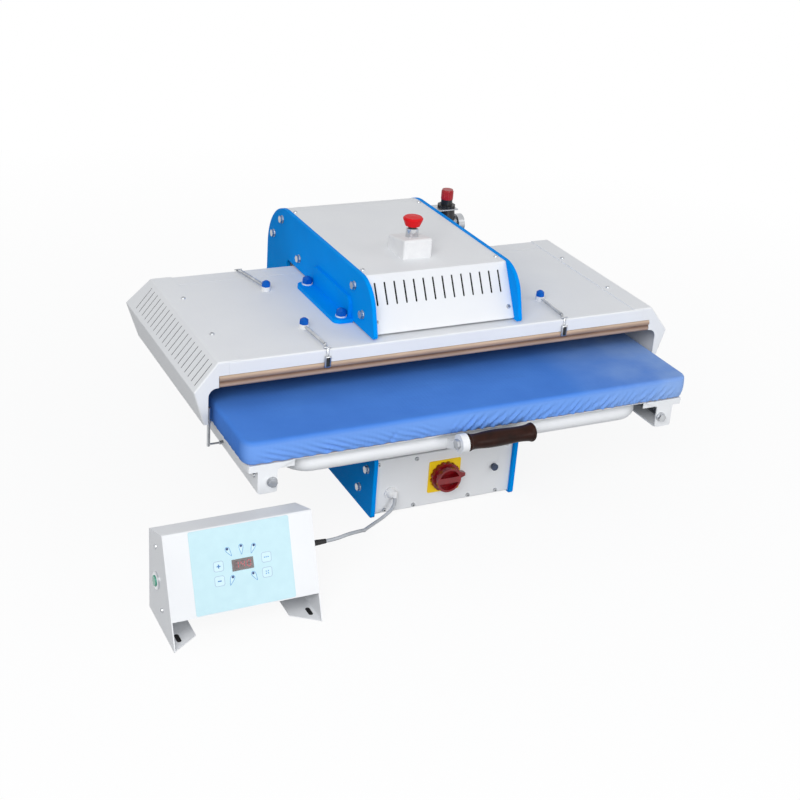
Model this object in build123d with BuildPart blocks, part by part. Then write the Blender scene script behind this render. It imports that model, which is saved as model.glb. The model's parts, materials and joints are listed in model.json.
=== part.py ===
"""Flatbed fusing press: a pneumatic C-frame press with a drawer buck and a separate controller.

Frame of reference: X to the right, Y to the back, Z up, in millimetres.
The origin is on the bench, at the centre of the base between the two side plates.
"""

import os
from math import atan2, cos, degrees, pi, radians, sin, tan

from build123d import *

os.makedirs("parts", exist_ok=True)


# C-frame: two thick side plates joined by round tie bars
frame_half_width = 154.0
plate_thickness = 8.0
frame_depth = 576.0
frame_height = 449.5
base_height = 125.0
arm_underside = 350.0
throat_back = 178.0
throat_radius = 12.0
back_radius = 100.0
nose_radius = 66.0
nose_tip = -251.0
nose_lean = 17.0
tip_radius = 6.0
plate_inner = frame_half_width - plate_thickness
base_front = -frame_depth / 2
base_back = frame_depth / 2

# sheet metal and fits
sheet = 1.5
bend = 1.5
fit_gap = 0.2
running_gap = 0.05
screw_gap = 0.15

# tie bars, as Y and the drop below the frame's top in the head, and as (Y, Z) in the base, and their screws
head_bar_drops = [(208.0, 24.5), (251.0, 68.5), (111.0, 74.5), (-155.0, 28.5), (-197.0, 69.5)]
head_bar_points = [(y, frame_height - drop) for y, drop in head_bar_drops]
base_bar_points = [(-262.0, 93.0), (-232.0, 40.0), (250.0, 60.0), (232.0, 215.0)]
deck_screw_depths = [-150.0, 40.0]
tie_bar_radius = 11.0
bolt_radius = 4.0
bolt_reach = 16.0
bolt_washer_radius = 8.0
bolt_washer_height = 1.6
bolt_head_flats = 13.0
bolt_head_height = 5.3

# deck across the base, which carries the cylinder and the guide bushes
deck_top = 112.0
deck_thickness = 14.0
deck_front = -190.0
deck_back = 85.0
deck_middle_z = deck_top - deck_thickness / 2

# heated plate, its coated sheet and its insulation
platen_half_width = 449.0
platen_thickness = 20.0
platen_face = 300.0
ptfe_thickness = 0.8
ptfe_half_width = 446.0
ptfe_hem_top = 322.0
element_radius = 4.0
element_end = 30.0
element_return = 55.0
element_runs = [(-225.0, -185.0), (-110.0, -60.0), (70.0, 110.0)]

# cover over the heated plate
cover_front = -255.0
cover_back = 148.0
cover_top = 348.6
centre_cover_half = 427.5
end_cover_lap = 20.5
end_cover_shelf = 20.5
end_bevel_run = 43.5
end_foot_inset = 18.5
end_mouth_flange = 8.0
lip_bottom = 322.5
rear_step = 107.0
rear_step_drop = 1.0
end_waist_z = 296.0
end_foot_z = 232.0
end_waist_back = 169.0
end_foot_back = 151.0
end_mouth_step = 19.0
end_mouth_top = 300.0
end_mouth_radius = 16.0
end_fold_radius = 3.0
louvre_count = 20
louvre_pitch = 18.8
louvre_first = -240.0
louvre_length = 50.0
louvre_width = 2.2
centre_cover_top = cover_top - sheet
end_cover_seam = centre_cover_half - end_cover_lap
end_top_half = centre_cover_half + end_cover_shelf
end_waist_half = end_top_half + end_bevel_run
end_foot_half = end_waist_half - end_foot_inset
end_mouth_half = end_foot_half - end_mouth_flange

# brackets that hang the heated plate from the arms
bracket_reach = 36.0
bracket_front = -157.0
bracket_back = 40.0
bracket_thickness = 8.0
bracket_leg_thickness = 6.0
bracket_height = 46.0
bracket_corner = 14.0
bracket_bottom = centre_cover_top + 0.3
main_post_points = [(171.0, 26.0), (171.0, -140.0)]
main_post_radius = 9.0
main_stud_radius = 5.0
sheet_post_points = [(252.0, 37.0), (250.0, -153.0)]
sheet_post_radius = 5.0
cap_radius = 8.5
cap_height = 16.0
main_cap_radius = 10.0
main_cap_height = 19.0
washer_radius = 9.0
washer_height = 2.5
spacer_height = 8.0

# springs and clips that stretch the coated sheet
spring_radius = 2.6
spring_height = 4.2
clip_width = 5.0
clip_thickness = 1.2
clip_foot_z = 312.5
clip_hook_run = 12.0
buckle_width = 9.0
buckle_height = 15.0
buckle_thickness = 2.2
hook_bar_radius = 1.3
hook_bar_length = 14.0

# sensing pin that looks at the tray
sensor_rod_radius = 3.0
sensor_bottom = 187.0
sensor_overlap = 30.0
sensor_nut_radius = 5.0
sensor_pin_radius = 1.8
sensor_pin_length = 24.0

# head cover between the plates
head_top = frame_height - sheet
head_panel_top = -180.0
head_panel_foot = -234.0
head_panel_foot_z = arm_underside + 1
head_return = 12.0
head_seam = 189.0
head_slot_count = 14
head_slot_pitch = 19.7
head_slot_length = 43.0
head_slot_width = 3.6
head_slot_middle = (-2.0, -36.0)
head_lean = degrees(atan2(head_panel_top - head_panel_foot, head_top - head_panel_foot_z))

# emergency stop on the head
estop_x = -12.0
estop_y = -92.0
estop_box_width = 60.0
estop_box_middle = -13.0
estop_box_front = -125.0
estop_box_back = -52.0
estop_box_front_z = head_top + 38
estop_box_back_z = head_top + 26
estop_box_round = 5.0
estop_collar_radius = 12.2
estop_collar_top = head_top + 50
estop_collar_bottom = head_top + 22
estop_stem_radius = 8.0
estop_head_bottom = estop_collar_top + 4.5
estop_head_rim_z = estop_head_bottom + 14
estop_head_top = estop_head_bottom + 18
estop_head_radius = 19.0
estop_neck_radius = 14.0
estop_travel = 4.0

# base panels
panel_face = -280.0
panel_bottom = 3.0
panel_top = 118.0
panel_flange = 16.0
pan_half_depth = 268.0
pan_thickness = 3.0
bench_hole_radius = 4.5
bench_hole_x = 110.0
bench_hole_y = 230.0
rear_face = 286.5
valve_x = 90.0
valve_y = 165.0
valve_height = 28.0
coil_height = 34.0

# rotary main switch and reset button on the base panel
switch_x = -1.0
switch_z = 64.0
switch_plate_size = 67.0
switch_plate_thickness = 2.0
switch_disc_radius = 30.0
switch_disc_height = 9.0
switch_cup_radius = 25.0
switch_cup_height = 13.0
switch_nose = 41.0
switch_shaft_radius = 4.0
switch_body_size = 50.0
switch_body_depth = 34.0
reset_x = 107.0
reset_z = 65.0
reset_radius = 7.0

# pneumatic lift
cylinder_y = -55.0
cylinder_radius = 45.0
cylinder_bore = 40.0
cylinder_bottom = 20.0
cylinder_wall = 8.0
rod_radius = 10.0
piston_height = 14.0
guide_x = 100.0
guide_y = 85.0
post_radius = 10.0
post_bottom = 22.0
bush_radius = 15.0
bush_flange_radius = 20.0
bush_flange = 3.0
bush_length = 30.0

# lift frame that carries the drawer slides
lift_plate_bottom = 127.0
lift_plate_thickness = 10.0
lift_plate_width = 260.0
lift_plate_depth = 230.0
beam_depth = 40.0
beam_height = 25.0
beam_wall = 2.5
beam_spacing = 190.0
upright_outer = 385.0
upright_width = 16.0
rail_outer = 409.0
rail_bottom = 170.0
rail_height = 26.0
rail_front = -200.0
rail_back = 120.0

# telescopic slides, closed length and cross-section
slide_height = 35.0
slide_sheet = 1.2
slide_gap = 0.3
slide_front = -240.0
slide_length = 390.0
tray_out = 143.0

# drawer tray
channel_outer = 424.0
channel_inner = 388.5
channel_bottom = 161.5
channel_top = 205.0
channel_sheet = 3.0
tray_front = -392.0
tray_depth = 397.0
tray_half_width = 441.0
tray_top = 218.0
ear_bar_inner = 357.0
tray_bolt_x = 398.5
tray_bolt_z = 183.0
tray_side_screw = (-377.0, 190.3)
tray_bolt_head = 9.5
slide_z = (channel_bottom + channel_top) / 2

# buck: board, foam pad and cloth cover
buck_half_width = 450.0
buck_front = -398.0
buck_depth = 400.0
buck_bottom = 220.0
buck_top = 263.0
buck_corner = 26.0
buck_edge = 7.0
cloth = 3.0
soft_gap = 0.3
board_thickness = 14.0

# pull tube and grip
tube_radius = 16.85
tube_wall = 2.5
tube_half_width = 350.0
tube_y = -368.0
tube_back = -190.0
tube_bend = 36.0
tube_z = 194.0
saddle_depth = 24.0
saddle_width = 26.0
grip_y = -425.5
grip_z = 214.5
lug_left = -60.0
lug_right = -46.0
lug_radius = 17.5
grip_left = -44.0
grip_right = 92.0
grip_radius = 15.4
grip_bolt_radius = 5.0

# air regulator beside the right arm
regulator_x = 195.0
regulator_y = 160.0
regulator_shelf = frame_height - 12.5
regulator_shelf_sheet = 2.5
regulator_shelf_half = 18.0
regulator_shelf_reach = 19.0
regulator_leg = 52.0
regulator_knob_bottom = regulator_shelf + 20.5
regulator_knob_top = regulator_knob_bottom + 20.5
regulator_knob_radius = 12.7
regulator_knob_stem = 4.0
regulator_neck_radius = 12.0
regulator_thread_radius = 14.8
regulator_ring_radius = 18.5
regulator_ring_height = 6.0
regulator_body_half = 20.0
regulator_body_top = regulator_shelf - 22
regulator_body_bottom = regulator_body_top - 27
port_radius = 5.72
port_depth = 12.0
gauge_radius = 20.0
gauge_left = 219.0
gauge_depth = 14.0
gauge_rim = 1.5
gauge_recess = 3.0
gauge_pin_radius = 1.0

# controller that stands beside the press
case_left = -620.0
case_right = -366.0
case_sheet = 2.0
case_top_front = (-492.0, 177.0)
case_top_back = (-423.0, 151.5)
case_toe = -562.0
case_panel_length = 141.0
case_foot_width = 46.0
case_foot_chamfer = 34.0
overlay_width = 170.0
overlay_height = 137.0
overlay_thickness = 0.8
display_size = (38.0, 20.4)
display_place = (0.0, -68.0)
start_y = -467.5
start_z = 79.0
start_radius = 9.5
start_bezel_radius = 15.0
start_collar_depth = 20.0
relief_y = -463.5
relief_z = 90.5
relief_length = 42.0
cable_radius = 3.25
case_lean = degrees(atan2(case_top_front[0] - case_toe, case_top_front[1]))
case_middle = (case_left + case_right) / 2

# control cable from the strain relief on the controller to the gland on the base
gland_x = -112.0
gland_z = 45.0
gland_flange_radius = 13.0
gland_dome_radius = 11.0
gland_hole_radius = 8.0
nozzle_end = Vector(-107.3, -289.8, 37.8)
nozzle_way = Vector(-0.104, -0.456, -0.884).normalized()
nozzle_length = 12.0
nozzle_radius = 5.4
cable_points = [
    (case_right + relief_length, relief_y, relief_z),
    (-305.0, relief_y, relief_z),
    (-274.5, -448.0, 85.5),
    (-226.0, -415.0, 65.0),
    (-200.0, -353.0, 21.0),
    (-167.0, -315.5, 3.6),
    (-131.0, -296.5, 5.0),
    tuple(nozzle_end + nozzle_way * 15.8),
    tuple(nozzle_end),
]
cable_bend_share = 0.45
mains_gland = (-90.0, 40.0)


def side_plane(x):
    """A sketch plane at X = x, with Y to its right and Z up."""
    return Plane.YZ.offset(x)


def front_plane(y):
    """A sketch plane at Y = y that faces the operator, with X to its right and Z up."""
    return Plane.XZ.offset(-y)


def save(build, name):
    """Label a finished piece and write it."""
    build.part.label = name
    export_step(build.part, f"parts/{name}.step")


def folded_strip(points, thickness=sheet, inner_bend=bend):
    """Outline of a folded sheet: points run along its skin and the wall lies on their left."""
    skin = [Vector(*point) for point in points]
    runs = [(b - a).normalized() for a, b in zip(skin, skin[1:])]
    lefts = [Vector(-run.Y, run.X) for run in runs]
    back = [skin[0] + lefts[0] * thickness]
    skin_radii = []
    back_radii = []
    for corner, run, next_run, left, next_left in zip(skin[1:], runs, runs[1:], lefts, lefts[1:]):
        back.append(corner + (left + next_left) * (thickness / (1 + left.dot(next_left))))
        turns_left = run.cross(next_run).Z > 0
        skin_radii.append(inner_bend + thickness if turns_left else inner_bend)
        back_radii.append(inner_bend if turns_left else inner_bend + thickness)
    back.append(skin[-1] + lefts[-1] * thickness)
    outside = FilletPolyline(*skin, radius=skin_radii)
    inside = FilletPolyline(*back, radius=back_radii)
    Line(outside @ 0, inside @ 0)
    Line(outside @ 1, inside @ 1)


def both_sides(points):
    """The given (X, Y) places and their mirror images on the left half."""
    return [(side * x, y) for x, y in points for side in (1, -1)]


head_screw_points = both_sides([(139.0, 178.0), (139.0, -154.0)])
panel_slope_screws = both_sides([(137.0, -86.0)])
cover_screw_points = both_sides([(418.0, 35.0), (420.0, -138.0)])
panel_screw_points = [(-141.0, 109.0), (-123.0, 9.5), (-62.0, 109.0), (-62.0, 9.5),
                      (56.0, 9.5), (117.0, 9.5), (133.0, 109.0)]
case_screw_points = [(-461.5, 139.5), (-496.0, 39.5)]
main_posts = both_sides(main_post_points)
sheet_posts = both_sides(sheet_post_points)
platen_top = platen_face + platen_thickness
cover_depth = cover_back - cover_front
cover_middle = (cover_back + cover_front) / 2
small_screw_radius = 2.0
small_head_radius = 4.5
small_head_height = 2.4
small_screw_length = 5.0
frame_screw_points = head_bar_points + base_bar_points + [(y, deck_middle_z) for y in deck_screw_depths]
head_slope = Plane(
    origin=(0, head_panel_top, head_top),
    x_dir=(1, 0, 0),
    z_dir=(0, -cos(radians(head_lean)), sin(radians(head_lean))),
)
case_slope = Plane(
    origin=(case_middle, case_top_front[0], case_top_front[1]),
    x_dir=(1, 0, 0),
    z_dir=(0, -cos(radians(case_lean)), sin(radians(case_lean))),
)


# side plates of the C-frame
def frame_plate(side):
    nose_top = nose_tip + (frame_height - arm_underside) * tan(radians(nose_lean))
    corners = [
        (base_front, 0),
        (base_back, 0),
        (base_back, frame_height),
        (nose_top, frame_height),
        (nose_tip, arm_underside),
        (throat_back, arm_underside),
        (throat_back, base_height),
        (base_front, base_height),
    ]
    arm_radii = [tip_radius, tip_radius, back_radius, nose_radius]
    throat_radii = [tip_radius, throat_radius, throat_radius, tip_radius]
    with BuildPart() as plate:
        with BuildSketch(side_plane(side * plate_inner)):
            with BuildLine():
                FilletPolyline(*corners, radius=arm_radii + throat_radii, close=True)
            make_face()
            with Locations(*frame_screw_points):
                Circle(bolt_radius + screw_gap, mode=Mode.SUBTRACT)
        extrude(amount=side * plate_thickness)
        flat_faces = plate.faces().filter_by(Axis.X).sort_by(Axis.X)
        outer_face = flat_faces[0 if side < 0 else -1]
        chamfer(outer_face.outer_wire().edges(), length=0.8)
    return plate


left_frame_plate = frame_plate(-1)
save(left_frame_plate, "left_frame_plate")
right_frame_plate = frame_plate(1)
save(right_frame_plate, "right_frame_plate")


# round bars that tie the plates together, tapped at both ends
with BuildPart() as tie_bars:
    with BuildSketch(side_plane(-plate_inner)):
        with Locations(*head_bar_points, *base_bar_points):
            Circle(tie_bar_radius)
    extrude(amount=2 * plate_inner)
    for side in (-1, 1):
        with BuildSketch(side_plane(side * plate_inner)):
            with Locations(*head_bar_points, *base_bar_points):
                Circle(bolt_radius + screw_gap)
        extrude(amount=-side * (bolt_reach + 2), mode=Mode.SUBTRACT)
save(tie_bars, "tie_bars")


# hexagon screws with washers through the plates
with BuildPart() as frame_bolts:
    for side in (-1, 1):
        with BuildSketch(side_plane(side * frame_half_width)):
            with Locations(*frame_screw_points):
                Circle(bolt_washer_radius)
        extrude(amount=side * bolt_washer_height)
        with BuildSketch(side_plane(side * (frame_half_width + bolt_washer_height))):
            with Locations(*frame_screw_points):
                RegularPolygon(bolt_head_flats / 2, 6, major_radius=False)
        extrude(amount=side * bolt_head_height)
        with BuildSketch(side_plane(side * frame_half_width)):
            with Locations(*frame_screw_points):
                Circle(bolt_radius)
        extrude(amount=-side * (plate_thickness + bolt_reach))
save(frame_bolts, "frame_bolts")


# deck plate between the side plates
with BuildPart() as base_deck:
    with BuildSketch(Plane.XY.offset(deck_top - deck_thickness)):
        with Locations((0, (deck_front + deck_back) / 2)):
            Rectangle(2 * (plate_inner - fit_gap), deck_back - deck_front)
        with Locations((0, cylinder_y)):
            Circle(rod_radius + 3, mode=Mode.SUBTRACT)
            with GridLocations(2 * guide_x, 2 * guide_y, 2, 2):
                Circle(bush_radius + screw_gap, mode=Mode.SUBTRACT)
    extrude(amount=deck_thickness)
    for side in (-1, 1):
        with BuildSketch(side_plane(side * (plate_inner - fit_gap))):
            with Locations(*[(y, deck_middle_z) for y in deck_screw_depths]):
                Circle(bolt_radius + screw_gap)
        extrude(amount=-side * (bolt_reach + 2), mode=Mode.SUBTRACT)
save(base_deck, "base_deck")


# flanged bronze bushes in the deck
with BuildPart() as guide_bushes:
    with BuildSketch(Plane.XY.offset(deck_top - bush_length)):
        with Locations((0, cylinder_y)):
            with GridLocations(2 * guide_x, 2 * guide_y, 2, 2):
                Circle(bush_radius)
    extrude(amount=bush_length)
    with BuildSketch(Plane.XY.offset(deck_top)):
        with Locations((0, cylinder_y)):
            with GridLocations(2 * guide_x, 2 * guide_y, 2, 2):
                Circle(bush_flange_radius)
    extrude(amount=bush_flange)
    with BuildSketch(Plane.XY.offset(deck_top + bush_flange)):
        with Locations((0, cylinder_y)):
            with GridLocations(2 * guide_x, 2 * guide_y, 2, 2):
                Circle(post_radius + running_gap)
    extrude(amount=-(bush_length + bush_flange), mode=Mode.SUBTRACT)
save(guide_bushes, "guide_bushes")


# cylinder barrel under the deck, closed at both ends
with BuildPart() as cylinder_barrel:
    barrel_top = deck_top - deck_thickness
    with BuildSketch(Plane.XY.offset(cylinder_bottom)):
        with Locations((0, cylinder_y)):
            Circle(cylinder_radius)
    extrude(amount=barrel_top - cylinder_bottom)
    with BuildSketch(Plane.XY.offset(cylinder_bottom + cylinder_wall)):
        with Locations((0, cylinder_y)):
            Circle(cylinder_bore)
    extrude(amount=barrel_top - cylinder_bottom - 2 * cylinder_wall, mode=Mode.SUBTRACT)
    with BuildSketch(Plane.XY.offset(barrel_top)):
        with Locations((0, cylinder_y)):
            Circle(rod_radius + running_gap)
    extrude(amount=-cylinder_wall, mode=Mode.SUBTRACT)
save(cylinder_barrel, "cylinder_barrel")


# piston with its rod, and the four hardened guide posts, all under the lift plate
with BuildPart() as lift_columns:
    piston_bottom = cylinder_bottom + cylinder_wall + 1
    with BuildSketch(Plane.XY.offset(piston_bottom)):
        with Locations((0, cylinder_y)):
            Circle(cylinder_bore - running_gap)
    extrude(amount=piston_height)
    with BuildSketch(Plane.XY.offset(piston_bottom + piston_height)):
        with Locations((0, cylinder_y)):
            Circle(rod_radius)
    extrude(amount=lift_plate_bottom - piston_bottom - piston_height)
    with BuildSketch(Plane.XY.offset(post_bottom)):
        with Locations((0, cylinder_y)):
            with GridLocations(2 * guide_x, 2 * guide_y, 2, 2):
                Circle(post_radius)
    extrude(amount=lift_plate_bottom - post_bottom)
save(lift_columns, "lift_columns")


# welded lift frame: plate, two hollow cross beams, uprights and side rails; a hair's gap stands for each weld
with BuildPart() as lift_frame:
    lift_plate_top = lift_plate_bottom + lift_plate_thickness
    beam_half = upright_outer - upright_width - running_gap
    with BuildSketch(Plane.XY.offset(lift_plate_bottom)):
        with Locations((0, cylinder_y)):
            RectangleRounded(lift_plate_width, lift_plate_depth, 12)
    extrude(amount=lift_plate_thickness)
    with BuildSketch(side_plane(-beam_half)):
        with Locations((cylinder_y, lift_plate_top + beam_height / 2)):
            with GridLocations(beam_spacing, 0, 2, 1):
                RectangleRounded(beam_depth, beam_height, 3)
                RectangleRounded(beam_depth - 2 * beam_wall, beam_height - 2 * beam_wall, 1, mode=Mode.SUBTRACT)
    extrude(amount=2 * beam_half)
    for side in (-1, 1):
        with BuildSketch(Plane.XY.offset(lift_plate_top)):
            with Locations((side * (upright_outer - upright_width / 2), cylinder_y)):
                with GridLocations(0, beam_spacing, 1, 2):
                    Rectangle(upright_width, beam_depth)
        extrude(amount=rail_bottom + rail_height - lift_plate_top)
        with BuildSketch(Plane.XY.offset(rail_bottom)):
            with Locations((side * (upright_outer + rail_outer) / 2, (rail_front + rail_back) / 2)):
                Rectangle(rail_outer - upright_outer, rail_back - rail_front)
        extrude(amount=rail_height)
save(lift_frame, "lift_frame")


# telescopic slides: three nested channels a side, pulled out with the tray
def slide_members(web_x, half_height, shift, flange_reach, opens_out):
    """One channel member on both sides, with its web at web_x and shifted to the front."""
    with BuildPart() as member:
        reach = flange_reach if opens_out else -flange_reach
        web = slide_sheet if opens_out else -slide_sheet
        outline = [
            (web_x, -half_height),
            (web_x + reach, -half_height),
            (web_x + reach, -half_height + slide_sheet),
            (web_x + web, -half_height + slide_sheet),
            (web_x + web, half_height - slide_sheet),
            (web_x + reach, half_height - slide_sheet),
            (web_x + reach, half_height),
            (web_x, half_height),
        ]
        with BuildSketch(front_plane(slide_front - shift)):
            with BuildLine():
                Polyline(*[(x, slide_z + z) for x, z in outline], close=True)
            make_face()
        extrude(amount=-slide_length)
        mirror(about=Plane.YZ)
    return member


outer_half = slide_height / 2
middle_half = outer_half - slide_sheet - slide_gap
inner_half = middle_half - slide_sheet - slide_gap
channel_web = channel_outer - channel_sheet
middle_web = rail_outer + slide_sheet + slide_gap
inner_reach = channel_web - middle_web - slide_sheet - slide_gap

slide_outer_members = slide_members(rail_outer, outer_half, 0, 9.5, True)
save(slide_outer_members, "slide_outer_members")
slide_middle_members = slide_members(middle_web, middle_half, tray_out / 2, 7.5, True)
save(slide_middle_members, "slide_middle_members")
slide_inner_members = slide_members(channel_web, inner_half, tray_out, inner_reach, False)
save(slide_inner_members, "slide_inner_members")


# channels that carry the tray on the slides, each with its eared front plate
with BuildPart() as tray_side_rails:
    with BuildSketch(front_plane(tray_front)):
        with BuildLine():
            folded_strip(
                [(channel_inner, channel_bottom), (channel_outer, channel_bottom),
                 (channel_outer, channel_top), (channel_inner, channel_top)],
                channel_sheet,
            )
        make_face()
    extrude(amount=-tray_depth)
    with BuildSketch(front_plane(tray_front)):
        with BuildLine():
            FilletPolyline(
                (ear_bar_inner, tray_top),
                (channel_inner, channel_top),
                (channel_inner, channel_bottom),
                (channel_outer, channel_bottom),
                (channel_outer, channel_top),
                (tray_half_width, channel_top),
                (tray_half_width, tray_top),
                radius=[1, 3, 5, 5, 2, 2, 2],
                close=True,
            )
        make_face()
        with Locations((tray_bolt_x, tray_bolt_z)):
            Circle(bolt_radius + screw_gap, mode=Mode.SUBTRACT)
    extrude(amount=channel_sheet)
    with BuildSketch(side_plane(channel_outer)):
        with Locations(tray_side_screw):
            Circle(small_screw_radius + screw_gap)
    extrude(amount=-channel_sheet, mode=Mode.SUBTRACT)
    mirror(about=Plane.YZ)
save(tray_side_rails, "tray_side_rails")


# shallow sheet pan on the channels, open in front over the pull tube
with BuildPart() as tray_frame:
    with BuildSketch(Plane.XY.offset(channel_top)):
        with Locations((0, tray_front + tray_depth / 2)):
            RectangleRounded(2 * tray_half_width, tray_depth, 3)
    extrude(amount=tray_top - channel_top)
    offset(amount=-sheet, openings=tray_frame.faces().sort_by(Axis.Z)[0])
    with BuildSketch(Plane.XY.offset(channel_top)):
        with Locations((0, tray_front)):
            Rectangle(2 * ear_bar_inner, 4 * sheet)
    extrude(amount=tray_top - sheet - channel_top, mode=Mode.SUBTRACT)
save(tray_frame, "tray_frame")


# large screws through the ears, and the long screw that holds the grip
with BuildPart() as tray_bolts:
    with BuildSketch(front_plane(tray_front - channel_sheet)):
        with Locations((tray_bolt_x, tray_bolt_z), (-tray_bolt_x, tray_bolt_z)):
            Circle(tray_bolt_head)
    extrude(amount=2.5)
    with BuildSketch(front_plane(tray_front - channel_sheet - 2.5)):
        with Locations((tray_bolt_x, tray_bolt_z), (-tray_bolt_x, tray_bolt_z)):
            RegularPolygon(tray_bolt_head - 2.5, 6, major_radius=False)
    extrude(amount=6)
    with BuildSketch(front_plane(tray_front - channel_sheet)):
        with Locations((tray_bolt_x, tray_bolt_z), (-tray_bolt_x, tray_bolt_z)):
            Circle(bolt_radius)
    extrude(amount=-channel_sheet)
    with BuildSketch(front_plane(tray_front)):
        with Locations((tray_bolt_x, tray_bolt_z), (-tray_bolt_x, tray_bolt_z)):
            RegularPolygon(bolt_head_flats / 2, 6, major_radius=False)
    extrude(amount=-6.5)
    for side in (-1, 1):
        with BuildSketch(side_plane(side * channel_outer)):
            with Locations(tray_side_screw):
                Circle(small_head_radius)
        extrude(amount=side * small_head_height, taper=20)
        with BuildSketch(side_plane(side * channel_outer)):
            with Locations(tray_side_screw):
                Circle(small_screw_radius)
        extrude(amount=-side * channel_sheet)
    with BuildSketch(side_plane(lug_left)):
        with Locations((grip_y, grip_z)):
            RegularPolygon(8, 6, major_radius=False)
    extrude(amount=-6.4)
    with BuildSketch(side_plane(lug_left)):
        with Locations((grip_y, grip_z)):
            Circle(grip_bolt_radius)
    extrude(amount=grip_right - lug_left - 4)
    with BuildSketch(side_plane(grip_right - 4)):
        with Locations((grip_y, grip_z)):
            Circle(grip_bolt_radius + 4)
    extrude(amount=3)
save(tray_bolts, "tray_bolts")


# buck: a board and a foam pad under a cloth cover
with BuildPart() as buck_board:
    with BuildSketch(Plane.XY.offset(tray_top)):
        with Locations((0, buck_front + buck_depth / 2)):
            RectangleRounded(2 * buck_half_width - 14, buck_depth - 14, buck_corner - 7)
    extrude(amount=board_thickness)
save(buck_board, "buck_board")

with BuildPart() as buck_pad:
    pad_inset = 2 * (cloth + soft_gap)
    with BuildSketch(Plane.XY.offset(tray_top + board_thickness)):
        with Locations((0, buck_front + buck_depth / 2)):
            RectangleRounded(2 * buck_half_width - pad_inset, buck_depth - pad_inset, buck_corner - cloth)
    extrude(amount=buck_top - cloth - soft_gap - tray_top - board_thickness)
    fillet(buck_pad.edges().group_by(Axis.Z)[-1], radius=buck_edge - cloth)
save(buck_pad, "buck_pad")

with BuildPart() as buck_cover:
    with BuildSketch(Plane.XY.offset(buck_bottom)):
        with Locations((0, buck_front + buck_depth / 2)):
            RectangleRounded(2 * buck_half_width, buck_depth, buck_corner)
    extrude(amount=buck_top - buck_bottom)
    fillet(buck_cover.edges().group_by(Axis.Z)[-1], radius=buck_edge)
    offset(amount=-cloth, openings=buck_cover.faces().sort_by(Axis.Z)[0])
save(buck_cover, "buck_cover")


# bent pull tube under the tray, with its saddles and the lug of the grip
with BuildPart() as pull_tube:
    with BuildLine(Plane.XY.offset(tube_z)) as tube_path:
        FilletPolyline(
            (-tube_half_width, tube_back),
            (-tube_half_width, tube_y),
            (tube_half_width, tube_y),
            (tube_half_width, tube_back),
            radius=tube_bend,
        )
    with BuildSketch(Plane(origin=(-tube_half_width, tube_back, tube_z), z_dir=(0, -1, 0))):
        Circle(tube_radius)
        Circle(tube_radius - tube_wall, mode=Mode.SUBTRACT)
    sweep(path=tube_path.line)
    saddle_bottom = tube_z + tube_radius - tube_wall + 0.6
    with BuildSketch(Plane.XY.offset(saddle_bottom)):
        for saddle_y in (tube_back - saddle_depth, tube_y + 2 * saddle_depth):
            with Locations((tube_half_width, saddle_y), (-tube_half_width, saddle_y)):
                Rectangle(saddle_width, saddle_depth)
        with Locations((-90, tube_y), (110, tube_y)):
            Rectangle(saddle_depth, saddle_width)
    extrude(amount=tray_top - sheet - saddle_bottom)
    with BuildSketch(side_plane(lug_left)):
        with BuildLine():
            Polyline(
                (grip_y + 8, grip_z - lug_radius + 2),
                (tube_y - 4, tube_z - tube_radius + 2),
                (tube_y - 2, channel_top - 0.8),
                (tray_front - 3, channel_top - 0.8),
                (grip_y + lug_radius - 0.5, grip_z - 2),
                close=True,
            )
        make_face()
        with Locations((grip_y, grip_z)):
            Circle(lug_radius)
            Circle(grip_bolt_radius + screw_gap, mode=Mode.SUBTRACT)
        with Locations((tube_y, tube_z)):
            Circle(tube_radius + running_gap, mode=Mode.SUBTRACT)
    extrude(amount=lug_right - lug_left)
save(pull_tube, "pull_tube")


# turned grip on the long screw
with BuildPart() as handle_grip:
    with BuildSketch(Plane.XY.offset(grip_z)):
        with Locations((0, grip_y)):
            with BuildLine():
                bore = grip_y + grip_bolt_radius + screw_gap
                Polyline(
                    (grip_left - 1.5, grip_y + grip_radius - 3),
                    (grip_left - 1.5, bore),
                    (grip_right, bore),
                    (grip_right, grip_y + grip_radius - 2),
                )
                ThreePointArc(
                    (grip_right, grip_y + grip_radius - 2),
                    (grip_right - 3.5, grip_y + grip_radius + 2),
                    (grip_right - 8, grip_y + grip_radius + 1),
                )
                Spline(
                    (grip_right - 8, grip_y + grip_radius + 1),
                    (grip_right - 14, grip_y + grip_radius),
                    (grip_right - 60, grip_y + grip_radius),
                    (grip_left + 30, grip_y + grip_radius - 0.6),
                    (grip_left + 12, grip_y + grip_radius - 1.4),
                    (grip_left + 6, grip_y + grip_radius - 0.4),
                )
                ThreePointArc(
                    (grip_left + 6, grip_y + grip_radius - 0.4),
                    (grip_left + 2, grip_y + grip_radius + 0.6),
                    (grip_left - 1.5, grip_y + grip_radius - 3),
                )
            make_face()
    revolve(axis=Axis((0, grip_y, grip_z), (1, 0, 0)))
    with BuildSketch(side_plane(grip_right)):
        with Locations((grip_y, grip_z)):
            Circle(grip_bolt_radius + 4.3)
    extrude(amount=-4.1, mode=Mode.SUBTRACT)
save(handle_grip, "handle_grip")


# heated plate with its posts, rod elements, insulation and coated sheet
with BuildPart() as heated_platen:
    platen_inset = 2 * (sheet + ptfe_thickness + 2 * fit_gap)
    with BuildSketch(Plane.XY.offset(platen_face)):
        with Locations((0, cover_middle)):
            RectangleRounded(2 * platen_half_width, cover_depth - platen_inset, 4)
    extrude(amount=platen_thickness)
save(heated_platen, "heated_platen")

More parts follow.
